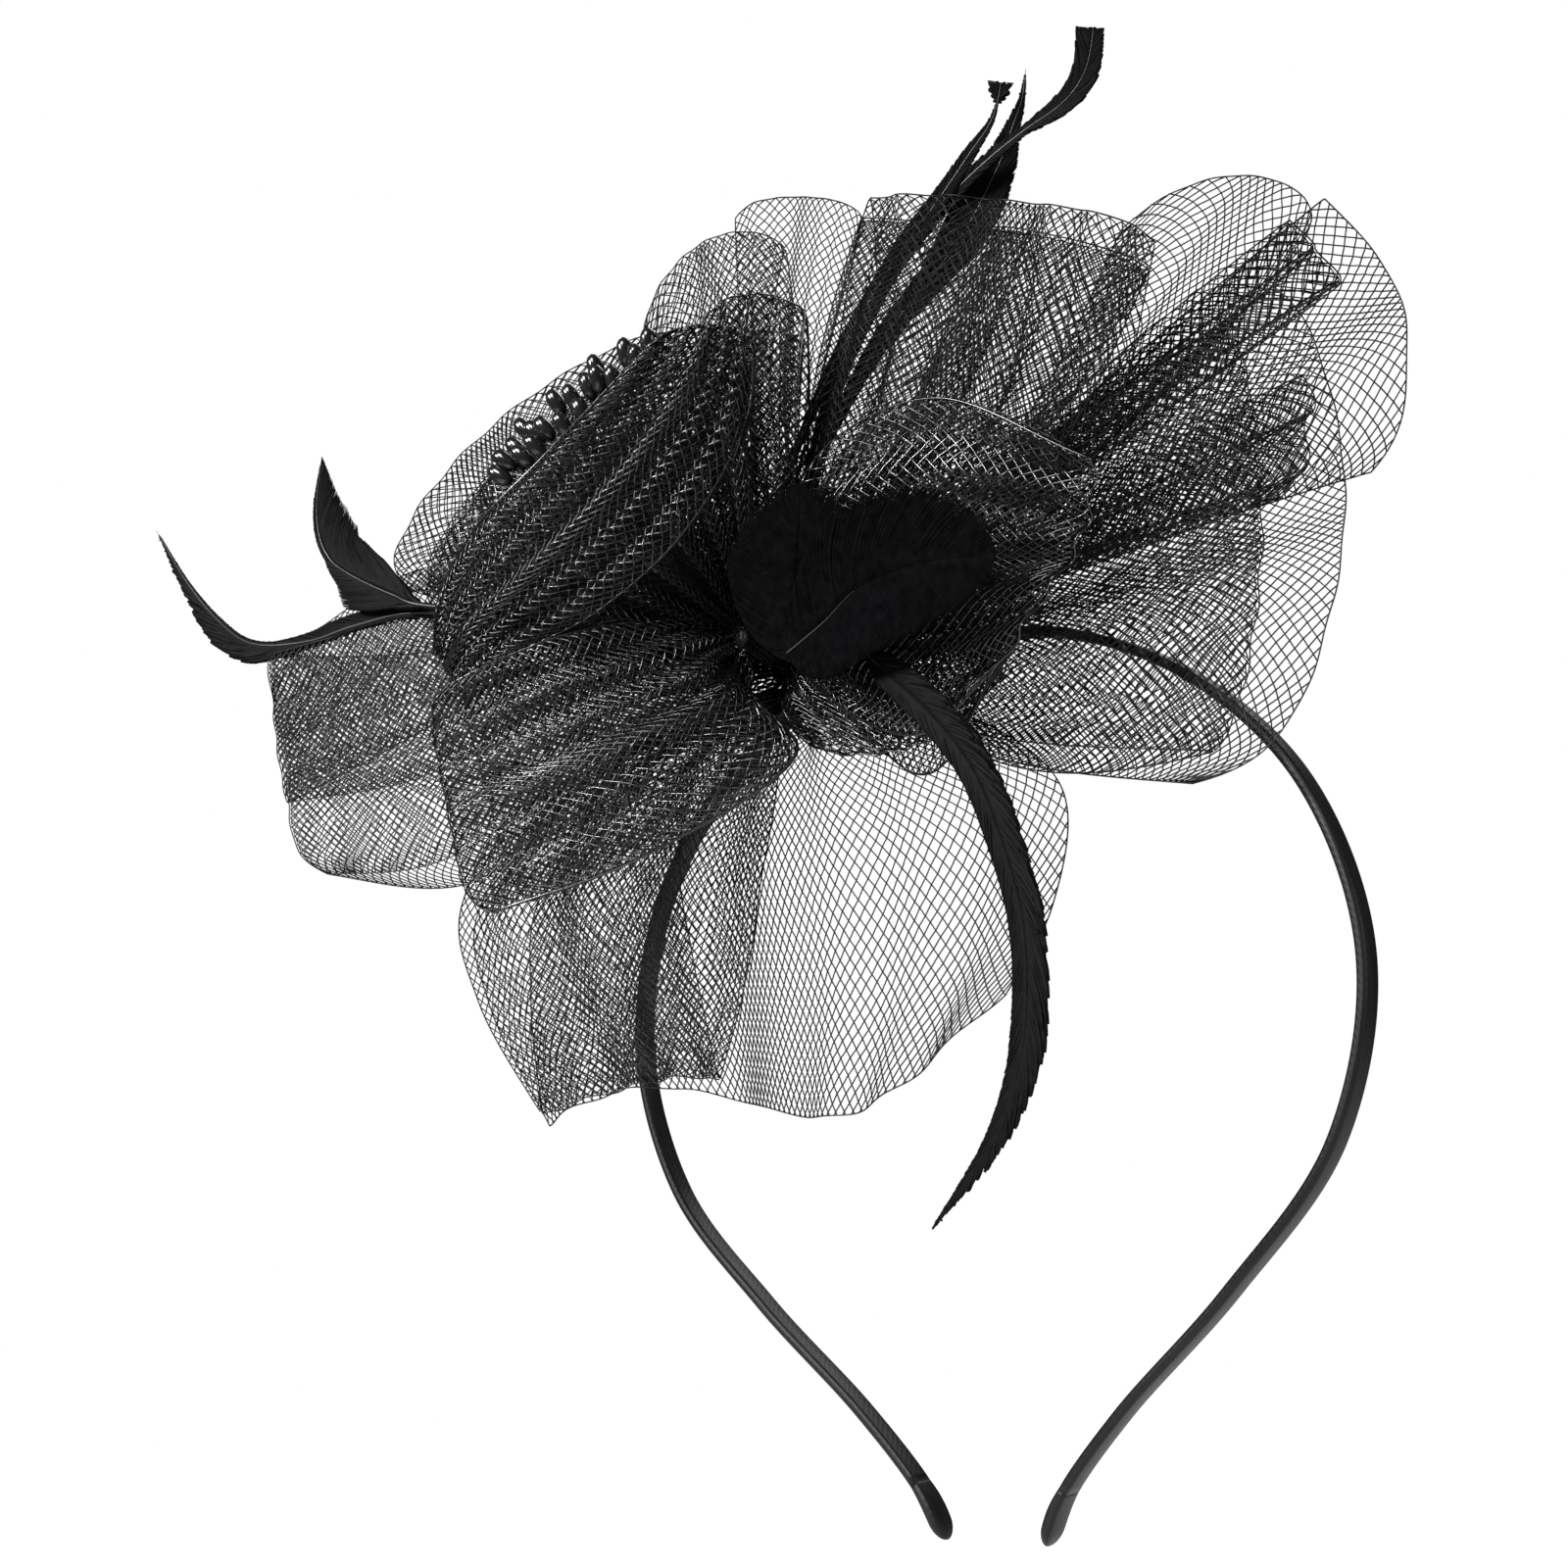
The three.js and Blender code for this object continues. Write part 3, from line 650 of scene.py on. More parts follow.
# Where each loop and petal lies: its edges run close to those of its CAD solid. corners draws the
# two ends of its rim in, rim is a wave along it (millimetres, waves, phase), bulge is how far its
# middle reaches past its ends, and root is its width at the neck.
LOOPS = {
    "loop_top_right": dict(
        angle=42, depth=-6.4, bulge=9, corners=(0.02, 0.03),
        left=[[25, -3, 31], [42, 1, 58]], right=[[43, -2, 25], [71, 2, 45]],
    ),
    "loop_top_small": dict(
        angle=100, depth=-8, bulge=3, corners=(0.02, 0.02),
        left=[[-23, -12, 42], [-25, -11, 80]], right=[[-9, -12, 38], [3, -11, 69]],
    ),
    "loop_lower": dict(
        angle=-78, depth=-8, bulge=4, corners=(0, 0.03), rim=(5, 1, 0.5), root=12,
        left=[[-58, -20, -11], [-79, -26, -33], [-74, -28, -48], [-56, -32, -69]],
        right=[[14, -13, -14], [34, -15, -30], [33, -18, -46], [25, -22, -60]],
    ),
    "loop_right": dict(
        angle=-14, depth=-12, bulge=7, corners=(0.03, 0.14), root=8,
        left=[[39, -13, 23], [74, -10, 34]], right=[[18, -11.5, -21], [63, -9, -34]],
    ),
    "loop_upper_right": dict(
        angle=14, depth=-9.4, bulge=6, corners=(0, 0.03), rim=(1, 1, 0.6), root=7,
        left=[[39, -8, 28.5], [77.5, -6, 46]], right=[[37, -8, 4], [82, -5, 7]],
    ),
    "loop_upper_left": dict(
        angle=118, depth=-11.5, bulge=7, corners=(0.05, 0.02),
        left=[[-34, -20, 37], [-37, -24, 60]], right=[[-17, -16, 36], [-9, -18, 67]],
    ),
    "loop_left": dict(
        angle=190, depth=-11.5, bulge=2, corners=(0.05, 0), root=8,
        left=[[-36, -32, -12], [-68, -42, -26], [-94, -50, -25]],
        right=[[-46, -33, 13], [-68, -44, 14], [-102, -51, 14]],
    ),
    "loop_back_left": dict(
        angle=150, depth=-15, bulge=8, corners=(0.08, 0.02),
        left=[[-58, -27, 17], [-90, -38, 26]], right=[[-38, -24, 36], [-27, -28, 56]],
    ),
    "loop_top_centre": dict(
        angle=60, depth=-16, bulge=2, corners=(0, 0.02), root=8,
        left=[[-2, -19, 34], [12, -22, 65]], right=[[37, -18, 17], [60, -20, 43]],
    ),
}

PETALS = {
    "petal_inner_back": dict(
        angle=150, depth=-18.5, bulge=8, corners=(0.08, 0.05), root=9,
        left=[[-52, -30, 8], [-80, -38, 18]], right=[[-24, -24, 31], [-23, -30, 50]],
    ),
    "petal_upper": dict(
        angle=95, depth=-18.5, bulge=3, corners=(0.1, 0.02), root=8,
        left=[[-22, -28, 27], [-14, -34, 51]], right=[[-4, -24, 25], [2, -27, 49]],
    ),
    "petal_right": dict(
        angle=15, depth=-18.5, bulge=2, corners=(0, 0.04), root=10,
        left=[[-6, -22, 18], [6, -25, 26], [27, -26, 27], [50, -25, 12]],
        right=[[3, -20, -13], [18, -22, -19], [31, -23, -12]],
    ),
    "petal_small_lower": dict(
        angle=-50, depth=-15, bulge=4, corners=(0.15, 0.15), root=12,
        left=[[11, -18.5, -13], [17, -20, -18]], right=[[-13, -20, -9], [-9, -21, -16]],
    ),
    "petal_flower_front": dict(
        angle=138, depth=-22, bulge=4, corners=(0.05, 0.08), root=9,
        left=[[-35, -38, 5], [-53, -50, 8]], right=[[-8, -30, 25], [-3, -36, 46]],
    ),
    "petal_flower_lower": dict(
        angle=198, depth=-22, corners=(0.05, 0.05), root=14,
        left=[[-6, -26, -19], [-26, -38, -32], [-51, -52, -38]],
        right=[[-37, -42, 3], [-55, -56, -3]],
    ),
}

# The front of the flower is a ribbon draped over it from its lower left to its upper right.
DRAPE = dict(
    loose=True, bulge=2, corners=(0.03, 0.03),
    left=[[-65, -46, 8], [-57, -51, 14], [-45, -53, 22], [-31, -51, 30], [-20, -47, 39],
          [-14, -43, 46]],
    right=[[-58, -46, -1], [-48, -47, 2], [-31, -42, 7], [-16, -37, 17], [-5, -34, 32],
           [-2, -35, 44]],
)

# The ribbons in each loop and petal.
LEAVES = {
    "loop_top_right": [dict(height=1, folded=False, waves=(1.5, 1, 0))],
    "loop_top_small": [dict(height=1, folded=False, waves=(1, 1, 0.2))],
    "loop_lower": [
        dict(height=1, folded=False, waves=(3, 1.2, 0.1), pleats=7, hold=0.05),
        dict(height=3, span=(0, 0.42), reach_to=0.98, lift=2, pleats=4, waves=(1, 1, 0.3), skew=6,
             mesh=0.85),
    ],
    "loop_right": [
        dict(height=3, reach_to=0.89, span=(0, 0.93), fullness=1.15, pleats=7, hold=0.25, skew=5),
        dict(height=1, folded=False, lift=-2, waves=(2, 1, 0.3)),
    ],
    "loop_upper_right": [
        dict(height=1.5, folded=False, waves=(1.5, 1, 0.6), fullness=1.1, pleats=3),
        dict(height=3, span=(0, 0.33), reach_to=0.95, fullness=1.3, pleats=2, drift=0.1, hold=1),
        dict(height=2, span=(0.58, 1), reach_to=0.86, fullness=1.3, pleats=2, drift=0.1, hold=1),
    ],
    "loop_upper_left": [dict(height=3, skew=4, fullness=1.2)],
    "loop_left": [
        dict(height=4, span=(0.34, 1), fullness=1.15, pleats=4, skew=8, mesh=0.85),
        dict(height=2, waves=(2, 1, 0.2), skew=-6, fullness=1.1, mesh=0.85),
    ],
    "loop_back_left": [
        dict(height=3, skew=-6, fullness=1.15),
        dict(height=1, reach_to=0.9, lift=2, skew=5),
    ],
    "loop_top_centre": [
        dict(height=3, fullness=1.2, hold=0.3, skew=5, waves=(1, 1.5, 0)),
        dict(height=1, reach_to=0.95, waves=(1.5, 1.5, 0.3), fullness=1.1, pleats=4, skew=-6),
    ],
    "petal_inner_back": [
        dict(height=3, fullness=1.15, skew=4, hold=0.3, glossy=True),
        dict(height=2, reach_to=0.84, lift=2, fullness=1.2, hold=0.6),
    ],
    "petal_upper": [
        dict(height=3, fullness=1.4, pleats=4, hold=0.9, glossy=True),
        dict(height=1.5, folded=False, reach_to=0.9, fullness=1.2, pleats=5, hold=0.5),
    ],
    "petal_right": [
        dict(height=3, fullness=1.1, pleats=5, skew=6, hold=0.2, waves=(1.5, 1, 0.4), glossy=True),
        dict(height=1.5, folded=False, reach_to=0.93, fullness=1.2, pleats=4, hold=0.4),
    ],
    "petal_small_lower": [
        dict(height=2, fullness=1.2, pleats=5, hold=0.3, glossy=True),
        dict(height=1, folded=False, reach_to=0.93, fullness=1.2, pleats=4, hold=0.3),
    ],
    "petal_flower_front": [
        dict(height=3, reach_to=0.9, fullness=1.2, hold=0.6),
        dict(height=2, shape=DRAPE, fullness=1.35, pleats=5, drift=0.1, hold=1, glossy=True),
        dict(height=1, shape=DRAPE, folded=False, reach_to=0.95, lift=-3, pleats=4, hold=0.7),
    ],
    "petal_flower_lower": [
        dict(height=5, fullness=1.2, drift=0.2, hold=0.6, skew=3, glossy=True),
        dict(height=3, folded=False, reach_to=0.9, lift=2, fullness=1.1, pleats=5, hold=0.4),
    ],
}


def make_all_crin():
    for name, spec in LOOPS.items():
        make_crin(name, spec, LEAVES[name], NET)
    for name, spec in PETALS.items():
        make_crin(name, spec, LEAVES[name], CLOSE_NET)


# ---------------- headband

BAND_WIDTH = 3.8
BAND_THICK = 1.6
BAND_CORNER = 0.6
CORE_WIDTH = 2.3
CORE_THICK = 0.5
BAND_STEP = 1.2
CORE_ROOM = 0.2  # between the steel strip and the inside of its cover
TIP_LENGTH = 9
TIP_GAP = 0.02
CROWN_LOWEST = -13  # the crown is the part of the band above this height
BAND_HALF = [
    [3, 0, 0.8], [24, 0, -2], [46, 0, -13.3], [62, 0, -31.5], [68, 0, -55.5],
    [61, 0, -79], [43, 0, -98], [23.5, 0, -114.5], [12.5, 0, -126], [9, 0, -132.5],
]


def band_line(side):
    return spline(np.array(BAND_HALF) * (side, 1, 1), 400)


def rounded_section(width, thick, corner, per_corner=4):
    """A rectangle with round corners, as (along Y, outwards) points."""
    points = []
    for quarter in range(4):
        centre_y = (width / 2 - corner) * (1 if quarter in (0, 3) else -1)
        centre_r = (thick / 2 - corner) * (1 if quarter < 2 else -1)
        for k in range(per_corner):
            angle = math.pi / 2 * (quarter + k / (per_corner - 1))
            points.append([centre_y + corner * math.cos(angle), centre_r + corner * math.sin(angle)])
    return np.array(points)


def swept(line, section, scale=None):
    """The section's rings along a line in the XZ plane, and their UVs, in metres."""
    scale = np.ones(len(line)) if scale is None else scale
    tangent = unit(np.gradient(line, axis=0))
    out = np.cross(tangent, (0, 1, 0))
    outward = np.sign((out * (line - (0, 0, -60))).sum(1))[:, None]
    out = out * outward
    rings = line[:, None] + scale[:, None, None] * (
        section[None, :, :1] * np.array([0, 1.0, 0]) + section[None, :, 1:] * out[:, None]
    )
    around = lengths(np.vstack([section, section[:1]]))[:-1]
    uv = np.stack(np.meshgrid(lengths(line), around, indexing="ij"), axis=-1) * MM
    return rings, uv


def closed(points, quads, caps=()):
    """The points and faces of a closed body, with its faces turned to face out."""
    a, b, c, d = (points[quads[:, k]] for k in range(4))
    volume = (a * np.cross(b, c)).sum() + (a * np.cross(c, d)).sum()
    faces = [quads, *caps]
    return points, faces if volume > 0 else [f[:, ::-1] for f in faces]


def ring_numbers(rings):
    """The number of each point in a stack of rings, and of the next point round its ring."""
    index = np.arange(rings.shape[0] * rings.shape[1]).reshape(rings.shape[:2])
    return index, np.roll(index, -1, axis=1)


def sleeve(outer, inner):
    """A sleeve between two stacks of rings, open at both ends."""
    stack = np.concatenate([outer, inner[::-1]])
    index, turned = ring_numbers(stack)
    corners = [index, turned, np.roll(turned, -1, axis=0), np.roll(index, -1, axis=0)]
    return closed(stack.reshape(-1, 3), np.stack(corners, axis=-1).reshape(-1, 4))


def solid(rings):
    """A stack of rings with its first and last ring capped."""
    index, turned = ring_numbers(rings)
    corners = [index[:-1], turned[:-1], turned[1:], index[1:]]
    caps = np.stack([index[0][::-1], index[-1]])
    return closed(rings.reshape(-1, 3), np.stack(corners, axis=-1).reshape(-1, 4), [caps])




def half_band(side):
    """The band's line from under the felt to where that side's end cover starts."""
    own, other = band_line(side), band_line(-side)
    whole = np.vstack([other[::-1], own])
    run = lengths(whole)
    top = whole[:, 2] > CROWN_LOWEST
    seam = np.interp(side * KNOT[0], side * whole[top, 0], run[top])
    end = run[-1] - TIP_LENGTH
    return at(whole, np.linspace(seam, end, int((end - seam) / BAND_STEP)), run)


def make_band(side, name, nodes):
    line = half_band(side)
    cover, uv = swept(line, rounded_section(BAND_WIDTH, BAND_THICK, BAND_CORNER))
    room = 2 * CORE_ROOM
    inside = swept(line, rounded_section(CORE_WIDTH + room, CORE_THICK + room, 0.3))[0]
    both_uv = np.concatenate([uv, uv[::-1]]).reshape(-1, 2)
    satin = make_mesh(f"satin_band_{name}", *sleeve(cover, inside), MATERIALS["satin"], both_uv)
    strip, uv = swept(line, rounded_section(CORE_WIDTH, CORE_THICK, 0.15))
    spring = make_mesh(f"spring_strip_{name}", *solid(strip), MATERIALS["steel"], uv.reshape(-1, 2))
    whole = band_line(side)
    for piece, slot in ((satin, "satin"), (spring, "spring_steel")):
        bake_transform(piece)
    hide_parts(*[n for n in nodes if "satin" in n])
    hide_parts(*[n for n in nodes if "spring" in n])


def make_tip(side, name):
    """The satin end cover: it swells from the band and closes round at its end."""
    whole = band_line(side)
    run = lengths(whole)
    share = 1 - (1 - np.linspace(0, 1, 40)) ** 1.8
    line = at(whole, run[-1] - (TIP_LENGTH - TIP_GAP) * (1 - share), run)
    closing = np.clip((share - 0.68) / 0.32, 0, 1)
    scale = np.sqrt(np.maximum(1 - closing**2, 0.002)) * (1 + 0.13 * np.sin(math.pi * share))
    rings, uv = swept(line, rounded_section(BAND_WIDTH, BAND_THICK, BAND_CORNER), scale)
    add_piece(f"tip_{name}", solid(rings), "satin", f"tip_cover_{name}", f"{name}_leg",
              uv.reshape(-1, 2))


# ---------------- base and binding

FELT_CENTRE = np.array([-16.0, 0, 5.5])
BASE_RADIUS = 13
BACKING_RADIUS = 11
FELT_CORNER = 0.45
NECK_BACK = -5
NECK_FRONT = -26
LASHING_BACK = -8
LASHING_FRONT = -14
LASHING_RADIUS = 3.75
THREAD_RADIUS = 0.22
WRAPS = 17


def turned_disc(radius, thick, corner, segments=96, radial=10):
    """A round pad about the Y axis with soft edges, as rings from one face to the other."""
    across = [0.02, *np.linspace(radius / radial, radius - corner, radial)]
    turns = -math.pi / 2 + math.pi * np.arange(1, 7) / 7
    profile = [
        *([r, -thick / 2] for r in across),
        *([radius - corner + corner * math.cos(a), thick / 2 * math.sin(a)] for a in turns),
        *([r, thick / 2] for r in across[::-1]),
    ]
    return revolved(profile, segments)


def full_turn(segments):
    return np.linspace(0, 2 * math.pi, segments, endpoint=False)


def about_y(radius, angle, y):
    """Points at a radius, an angle and a height about the Y axis."""
    return np.stack(np.broadcast_arrays(radius * np.cos(angle), y, radius * np.sin(angle)), axis=-1)


def revolved(profile, segments):
    """Rings about the Y axis from [radius, distance along Y] points."""
    return np.array([about_y(r, full_turn(segments), y) for r, y in profile])


def make_felt(name, node, radius):
    """A felt disc in the place of the CAD one, cut a little unevenly."""
    low, high = (np.array(v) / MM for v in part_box(node))
    rings = turned_disc(radius, high[1] - low[1], FELT_CORNER)
    uneven = 1 + 0.012 * np.sin(5 * full_turn(rings.shape[1]))
    rings[..., (0, 2)] *= uneven[None, :, None]
    rings = rings + FELT_CENTRE + (0, (low[1] + high[1]) / 2, 0)
    add_piece(name, solid(rings), "felt", node)


def make_glue():
    low, high = (np.array(v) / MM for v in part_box("glue_bead"))
    middle, half = (low + high) / 2, (high - low) / 2
    turns = np.linspace(-math.pi / 2, math.pi / 2, 24)
    profile = [[max(math.cos(a), 0.01), math.sin(a)] for a in turns]
    rings = revolved(profile, 48)
    lump = 1 + 0.06 * np.sin(6 * rings[..., 0] + 1) * np.cos(4 * rings[..., 2])
    rings = middle + rings * half * lump[..., None]
    add_piece("glue_drop", solid(rings), "glue", "glue_bead")


def make_neck():
    """The drawn-together ends of the mesh: a bundle of twisted pleats, wider behind the thread and
    tapered at its front end."""
    angle = full_turn(120)
    y = np.linspace(NECK_BACK, NECK_FRONT, 40)[:, None]
    base = 3 + smooth_step((y + 7.5) / 2.5) - 2 * smooth_step((-19 - y) / 7)
    twist = 0.09 * (y - NECK_BACK)
    radius = base + 0.35 * np.sin(17 * (angle + twist)) + 0.15 * np.sin(41 * (angle - twist))
    rings = KNOT + about_y(radius, angle, y)
    add_piece("gathered_neck_bundle", solid(rings), "net", "gathered_neck")


def make_lashing():
    """The thread wraps: one long helix round the neck, forward and back over itself."""
    angle = np.linspace(0, 2 * math.pi * WRAPS, WRAPS * 28)
    share = angle / angle[-1]
    y = LASHING_BACK + (LASHING_FRONT - LASHING_BACK) * (1 - np.abs(2 * share - 1))
    radius = LASHING_RADIUS + 0.28 * (share > 0.5) + 0.05 * np.sin(3.3 * angle)
    line = KNOT + about_y(radius, angle, y)
    sides = 6
    shape = rod(line, about_y(1, angle, 0), THREAD_RADIUS, sides=sides)
    around = np.tile(np.arange(sides) * THREAD_RADIUS, len(line))
    uv = np.stack([np.repeat(lengths(line), sides), around], axis=-1) * MM
    add_piece("thread_wraps", shape, "thread", "thread_lashing", uv=uv)


# ---------------- stamens

STALK = [[-20.6, -20.3, 6], [-23, -24.5, 10.5], [-26, -28.5, 14.5]]
STAMEN_ROWS = 4
STAMENS_IN_ROW = 5
GRID_STEP = 0.85
STEM_START = 1.4
STEM_BOW = 1.6
ROW_OFFSETS = (-0.8, 1)
BEAD_EDGE = np.array([[-49.0, -44, 35], [-18, -40.5, 47.5]])
BEAD_ROW_RISE = np.array([-1.1, 0.9, 1.6])
BEAD_OUT = -0.15
BEAD_CROWDING = 1.35
BEAD_RADIUS = 1.3
STEM_RADIUS = 0.2
STALK_RADIUS = 0.55
BEAD_LENGTH = 4.9


def stamen_path(row, spot):
    end = np.array(STALK[2], float)
    aim = unit(end - STALK[1])
    edge = BEAD_EDGE[1] - BEAD_EDGE[0]
    across = unit(edge - (edge @ aim) * aim)
    rise = np.cross(aim, across)
    rise = rise if rise @ BEAD_ROW_RISE > 0 else -rise
    start = (
        end + STEM_START * aim
        + (spot - (STAMENS_IN_ROW - 1) / 2) * GRID_STEP * across
        + (row - (STAMEN_ROWS - 1) / 2) * GRID_STEP * rise
    )
    share = ((spot + (row + 0.5) / STAMEN_ROWS) / STAMENS_IN_ROW) ** BEAD_CROWDING
    bead = BEAD_EDGE[0] + share * edge + ROW_OFFSETS[row % 2] * BEAD_ROW_RISE
    bead = bead + RANDOM.uniform(-1, 1, 3) * (1.5, 0.8, 1.5) + BEAD_OUT * BEAD_ROW_RISE
    bend = (start + bead) / 2 + STEM_BOW * FRONT
    t = np.linspace(0, 1, 24)[:, None]
    return start * (1 - t) ** 2 + 2 * bend * t * (1 - t) + bead * t**2


def bead_shape(path):
    """A long bead on the end of a path, a little fuller at its far end."""
    along = np.linspace(-1, 1, 15)
    line = path[-1] + along[:, None] * unit(path[-1] - path[-2]) * BEAD_LENGTH / 2
    radius = BEAD_RADIUS * np.sqrt(np.clip(1 - np.abs(along) ** 2.3, 0.004, 1)) * (1 + 0.08 * along)
    return rod(line, FRONT, radius, sides=16)


def make_stamens():
    stalk = rod(spline(STALK, 30), FRONT + (0.3, 0, 0.2), STALK_RADIUS, sides=12)
    uv = np.zeros((len(stalk[0]), 2))
    add_piece("stamen_stalk_wrap", stalk, "thread", "stamen_stalk", uv=uv)
    for row in range(STAMEN_ROWS):
        for spot in range(STAMENS_IN_ROW):
            path = stamen_path(row, spot)
            number = row * STAMENS_IN_ROW + spot + 1
            shape = merged([rod(path, FRONT, STEM_RADIUS, sides=6), bead_shape(path)])
            add_piece(f"stamen_bead_{number}", shape, "bead", f"stamen_{number}")


# ---------------- feathers

BARB_CURVE = 0.4
BARB_ROWS = 9


def barbs(shaft, side_of, normal_of, side, width, lean, spacing, clump, jag, cup, cling,
          thick=0.07):
    """One vane of a feather. width gives the vane's width in millimetres and lean its barbs' angle
    to the shaft in degrees, at shares of the shaft. The barbs bend with the shaft, and cling
    together in clumps that split."""
    run = lengths(shaft)[-1]
    count = int(run / spacing)
    share = np.clip((np.arange(count) + RANDOM.uniform(-0.2, 0.2, count)) / count, 0, 1)
    q = np.linspace(0, 1, BARB_ROWS)
    bend = np.radians(np.interp(share, *lean))[:, None] * (1 - BARB_CURVE * q)
    ahead, aside = np.cos(bend).mean(axis=1), np.sin(bend).mean(axis=1)
    low, high = np.zeros(count), np.ones(count)
    for _ in range(16):
        end = (low + high) / 2
        beyond = (end - share) * run * aside > np.interp(end, *width) * ahead
        low, high = np.where(beyond, low, end), np.where(beyond, end, high)
    size = np.interp(low, *width) / aside * (1 - jag * RANDOM.random(count) ** 2)
    keep = size > 0.25
    share, size, bend = share[keep], size[keep], bend[keep]
    group = np.floor(share * run / clump + 0.3 * np.sin(37 * share))
    pull = ((group + 0.5) * clump - share * run)[:, None] * cling * smooth_step((q - 0.45) / 0.55)
    step = (size / (BARB_ROWS - 1))[:, None]
    forward = (np.cumsum(np.cos(bend), axis=1) - np.cos(bend[:, :1])) * step + pull
    outward = (np.cumsum(np.sin(bend), axis=1) - np.sin(bend[:, :1])) * step
    lift = cup * outward**2 + RANDOM.uniform(-0.1, 0.1, len(size))[:, None] * q
    place_on = share[:, None] + forward / run
    reach = np.clip(place_on, 0, 1)
    behind = np.minimum(place_on, 0)[..., None] * run * unit(shaft[1] - shaft[0])
    lateral, normal = unit(at(side_of, reach)) * side, unit(at(normal_of, reach))
    points = at(shaft, reach) + behind + outward[..., None] * lateral + lift[..., None] * normal
    apart = np.linalg.norm(np.diff(points, axis=0), axis=-1)
    apart = np.minimum(np.vstack([apart, apart[-1:]]), 3 * spacing)
    wide = 0.65 * apart * (1 - 0.6 * q**6)
    owner = np.repeat(np.arange(len(size)), BARB_ROWS)
    return rods(points.reshape(-1, 3), owner, normal.reshape(-1, 3), wide.ravel(), thick, sides=4)


def make_feather(name, path, vanes, quill=0.3, material="coque", facing=FRONT, spacing=0.34,
                 bare=1.0):
    """A feather along a path. bare is the share of its shaft that the barbs leave in sight."""
    shaft = spline(path, 160)
    tangent = unit(np.gradient(shaft, axis=0))
    side_of = unit(np.cross(tangent, facing))
    normal_of = np.cross(side_of, tangent)
    parts = [
        barbs(shaft, side_of, normal_of, side, spacing=spacing, **vane)
        for side, vane in zip((-1, 1), vanes)
    ]
    shown = max(int(len(shaft) * bare), 2)
    thin = quill * (1 - 0.85 * np.linspace(0, 1, shown))
    raised = (shaft + 0.08 * normal_of)[:shown]
    rachis = rod(raised, normal_of[:shown], thin, thin * 0.8, sides=6)
    shape = merged([rachis, *parts])
    piece = add_piece(name + "_barbs", shape, material, name)
    piece.data.materials.append(MATERIALS["quill"])
    is_quill = np.zeros(len(piece.data.polygons), np.int32)
    is_quill[: (shown - 1) * 6] = 1
    piece.data.polygons.foreach_set("material_index", is_quill)


# The side feathers are turned a little from the front.
TURNED = np.array([0.55, -0.8, -0.1])


def vane(width, lean=((0, 1), (26, 18)), clump=3, jag=0.05, cup=0.0, cling=0.1):
    return dict(width=width, lean=lean, clump=clump, jag=jag, cup=cup, cling=cling)


def pad_vane(size):
    """A vane of a round pad, with an elliptic outline."""
    share = np.linspace(0, 1, 41)
    width = size * np.sqrt(1 - (2 * share - 1) ** 2)
    lean = ([0, 0.12, 0.35, 0.7, 1], [125, 98, 76, 54, 34])
    return vane((share, width), lean, clump=7, jag=0.01, cup=0.012, cling=0.03)


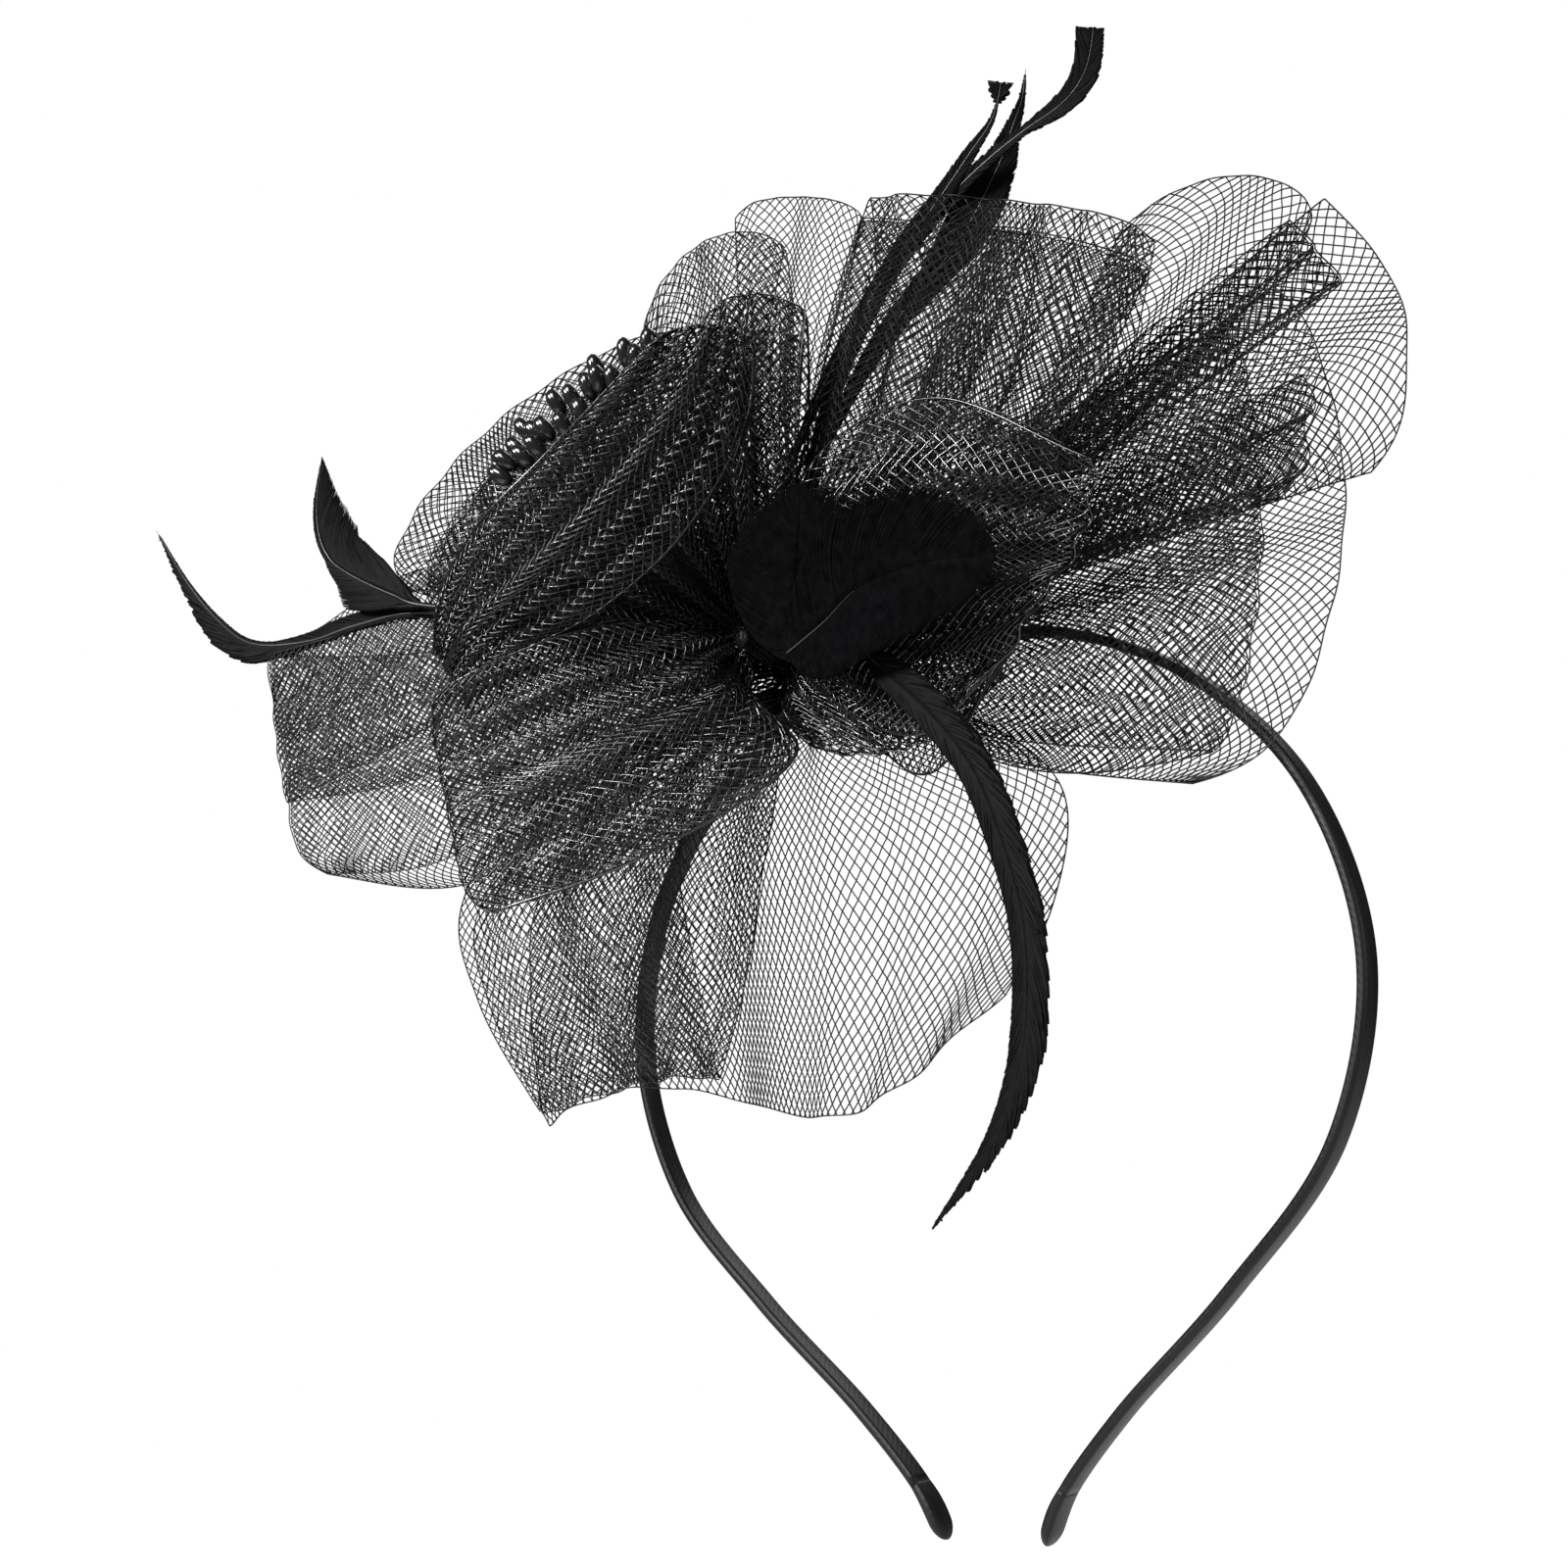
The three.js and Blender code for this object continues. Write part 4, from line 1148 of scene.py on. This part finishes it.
# The path and the two vanes of each feather at the top and the side.
LEAF_LEAN = ((0, 1), (32, 24))
SIDE_FEATHERS = {
    "feather_top_long": (
        [[-12.5, -13.5, 11], [-10, -15.3, 24], [-3, -16, 40], [10, -16, 55.5], [23, -17, 62.7],
         [31, -17, 66], [37.6, -17, 67.8], [43.6, -17.5, 68.6], [47.1, -18, 69.8],
         [49.2, -18, 72], [50.3, -18, 74.6], [51.1, -18, 77.6]],
        vane(([0.05, 0.6, 0.74, 0.82, 0.88, 0.94, 1], [1.2, 1.5, 1, 0.7, 1.5, 1.9, 2.6]),
             ((0, 0.9, 1), (24, 22, 42))),
        vane(([0.05, 0.6, 0.74, 0.82, 0.88, 0.94, 1], [1.2, 1.5, 1, 0.7, 1.6, 2.1, 1.6]),
             ((0, 0.9, 1), (24, 24, 40))),
    ),
    "feather_top_broad": (
        [[-16, -13.2, 11], [-13, -13.8, 24], [4, -14, 45], [17, -14, 53.5], [24.5, -14, 59.5],
         [28.3, -14, 63.8], [31.7, -14.5, 67.3], [33.8, -15, 70.2], [35.8, -15, 73.6],
         [37.1, -15, 78.2]],
        *[vane(([0.3, 0.62, 0.74, 0.8, 0.86, 0.9, 0.95, 1], [0.8, 2.2, 3.8, 3.6, 2.4, 1.3, 0.5, 0]),
               cling=0.15)] * 2,
    ),
    "feather_top_thin": (
        [[-19, -15.8, 11], [-16, -16.8, 23], [-2, -17.4, 43], [14, -18, 57], [22.1, -18, 62.8],
         [28.1, -18, 67.5], [32.5, -18.5, 70.4], [34.1, -18.5, 73.2], [34.9, -18.5, 75.8]],
        *[vane(([0.3, 0.7, 0.87, 0.93, 0.965, 1], [0.6, 1.7, 1.1, 0.5, 0.2, 2]),
               ((0, 0.93, 0.965, 1), (24, 24, 55, 60)))] * 2,
    ),
    "feather_left_leaf": (
        [[-26, -25, 6], [-42, -38, 10], [-64.4, -50, 14.8], [-69.2, -50.5, 17.3], [-74.2, -51, 20],
         [-79.5, -51.5, 23.2], [-83.8, -52, 26.6], [-85.6, -52.7, 30.5], [-85.6, -53.3, 36],
         [-82.9, -54, 44]],
        vane(([0.53, 0.6, 0.67, 0.7, 0.74, 0.8, 0.9, 1], [0.4, 2.2, 5.2, 5.4, 2.8, 0.8, 0.6, 0]),
             LEAF_LEAN, jag=0.02, cling=0.02),
        vane(([0.53, 0.6, 0.66, 0.73, 0.84, 0.9, 0.95, 1], [0.4, 2.6, 4.6, 6, 7, 5.4, 2.8, 0]),
             LEAF_LEAN, jag=0.02, cling=0.02),
    ),
    "feather_left_curved": (
        [[-26, -24, 3.5], [-44, -37.5, 7], [-66, -48, 14], [-80, -50, 14.8], [-92, -51, 14.6],
         [-105, -53, 16.8], [-115, -53, 23], [-123, -54, 31.5], [-131.7, -55, 43.5]],
        vane(([0.3, 0.6, 0.7, 0.78, 0.88, 1], [0.6, 1.2, 3.6, 3.8, 1.6, 0]), jag=0.25, cling=0.3),
        vane(([0.3, 0.42, 0.55, 0.66, 0.8, 1], [0.5, 2.2, 2, 0.6, 0.6, 0]), jag=0.02, cling=0.02),
    ),
}


def make_feathers():
    left_pad = [[-3, -30, -5], [1.5, -32, 8], [4, -33, 19.8]]
    right_pad = [[-1.5, -32, -4.4], [7.5, -34, -2.2], [15.9, -36, 0.4], [27.5, -36, 1.2],
                 [40, -36, -0.8]]
    for name, path, sizes, bare in (
        ("feather_round_left", left_pad, (12.6, 12.6), 0),
        ("feather_round_right", right_pad, (11.6, 10.8), 0.42),
    ):
        vanes = [pad_vane(size) for size in sizes]
        make_feather(name, path, vanes, 0.14, "pad", spacing=0.26, bare=bare)
    make_feather(
        "feather_drooping",
        [[12, -31, -7], [25, -33, -19], [32, -34, -28], [36, -34, -39], [38, -34, -48],
         [38, -34, -57], [36, -34, -67], [31, -34, -76], [19, -34, -88]],
        [
            vane(([0, 0.15, 0.7, 1], [2, 3.3, 3.6, 0]), ((0, 1), (30, 22)), jag=0.35, cling=0.3),
            vane(([0, 0.15, 0.7, 1], [2, 2.6, 2.4, 0]), jag=0.02, cling=0.02),
        ],
        quill=0.12, bare=0.08,
    )
    for name, (path, *vanes) in SIDE_FEATHERS.items():
        make_feather(name, path, vanes, facing=TURNED)


# ---------------- everything

make_camera()
make_lights()
make_world()
make_floor()
bpy.context.scene.view_settings.view_transform = "Standard"

for side, name in ((-1, "left"), (1, "right")):
    own = [f"band_satin_{name}", f"band_spring_{name}"]
    crown = ["band_satin_crown", "band_spring_crown"] if side > 0 else []
    make_band(side, name, own + crown)
    make_tip(side, name)
make_felt("felt_base_pad", "felt_base", BASE_RADIUS)
make_felt("felt_backing_pad", "felt_backing", BACKING_RADIUS)
make_glue()
make_neck()
make_lashing()
make_all_crin()
make_feathers()
make_stamens()
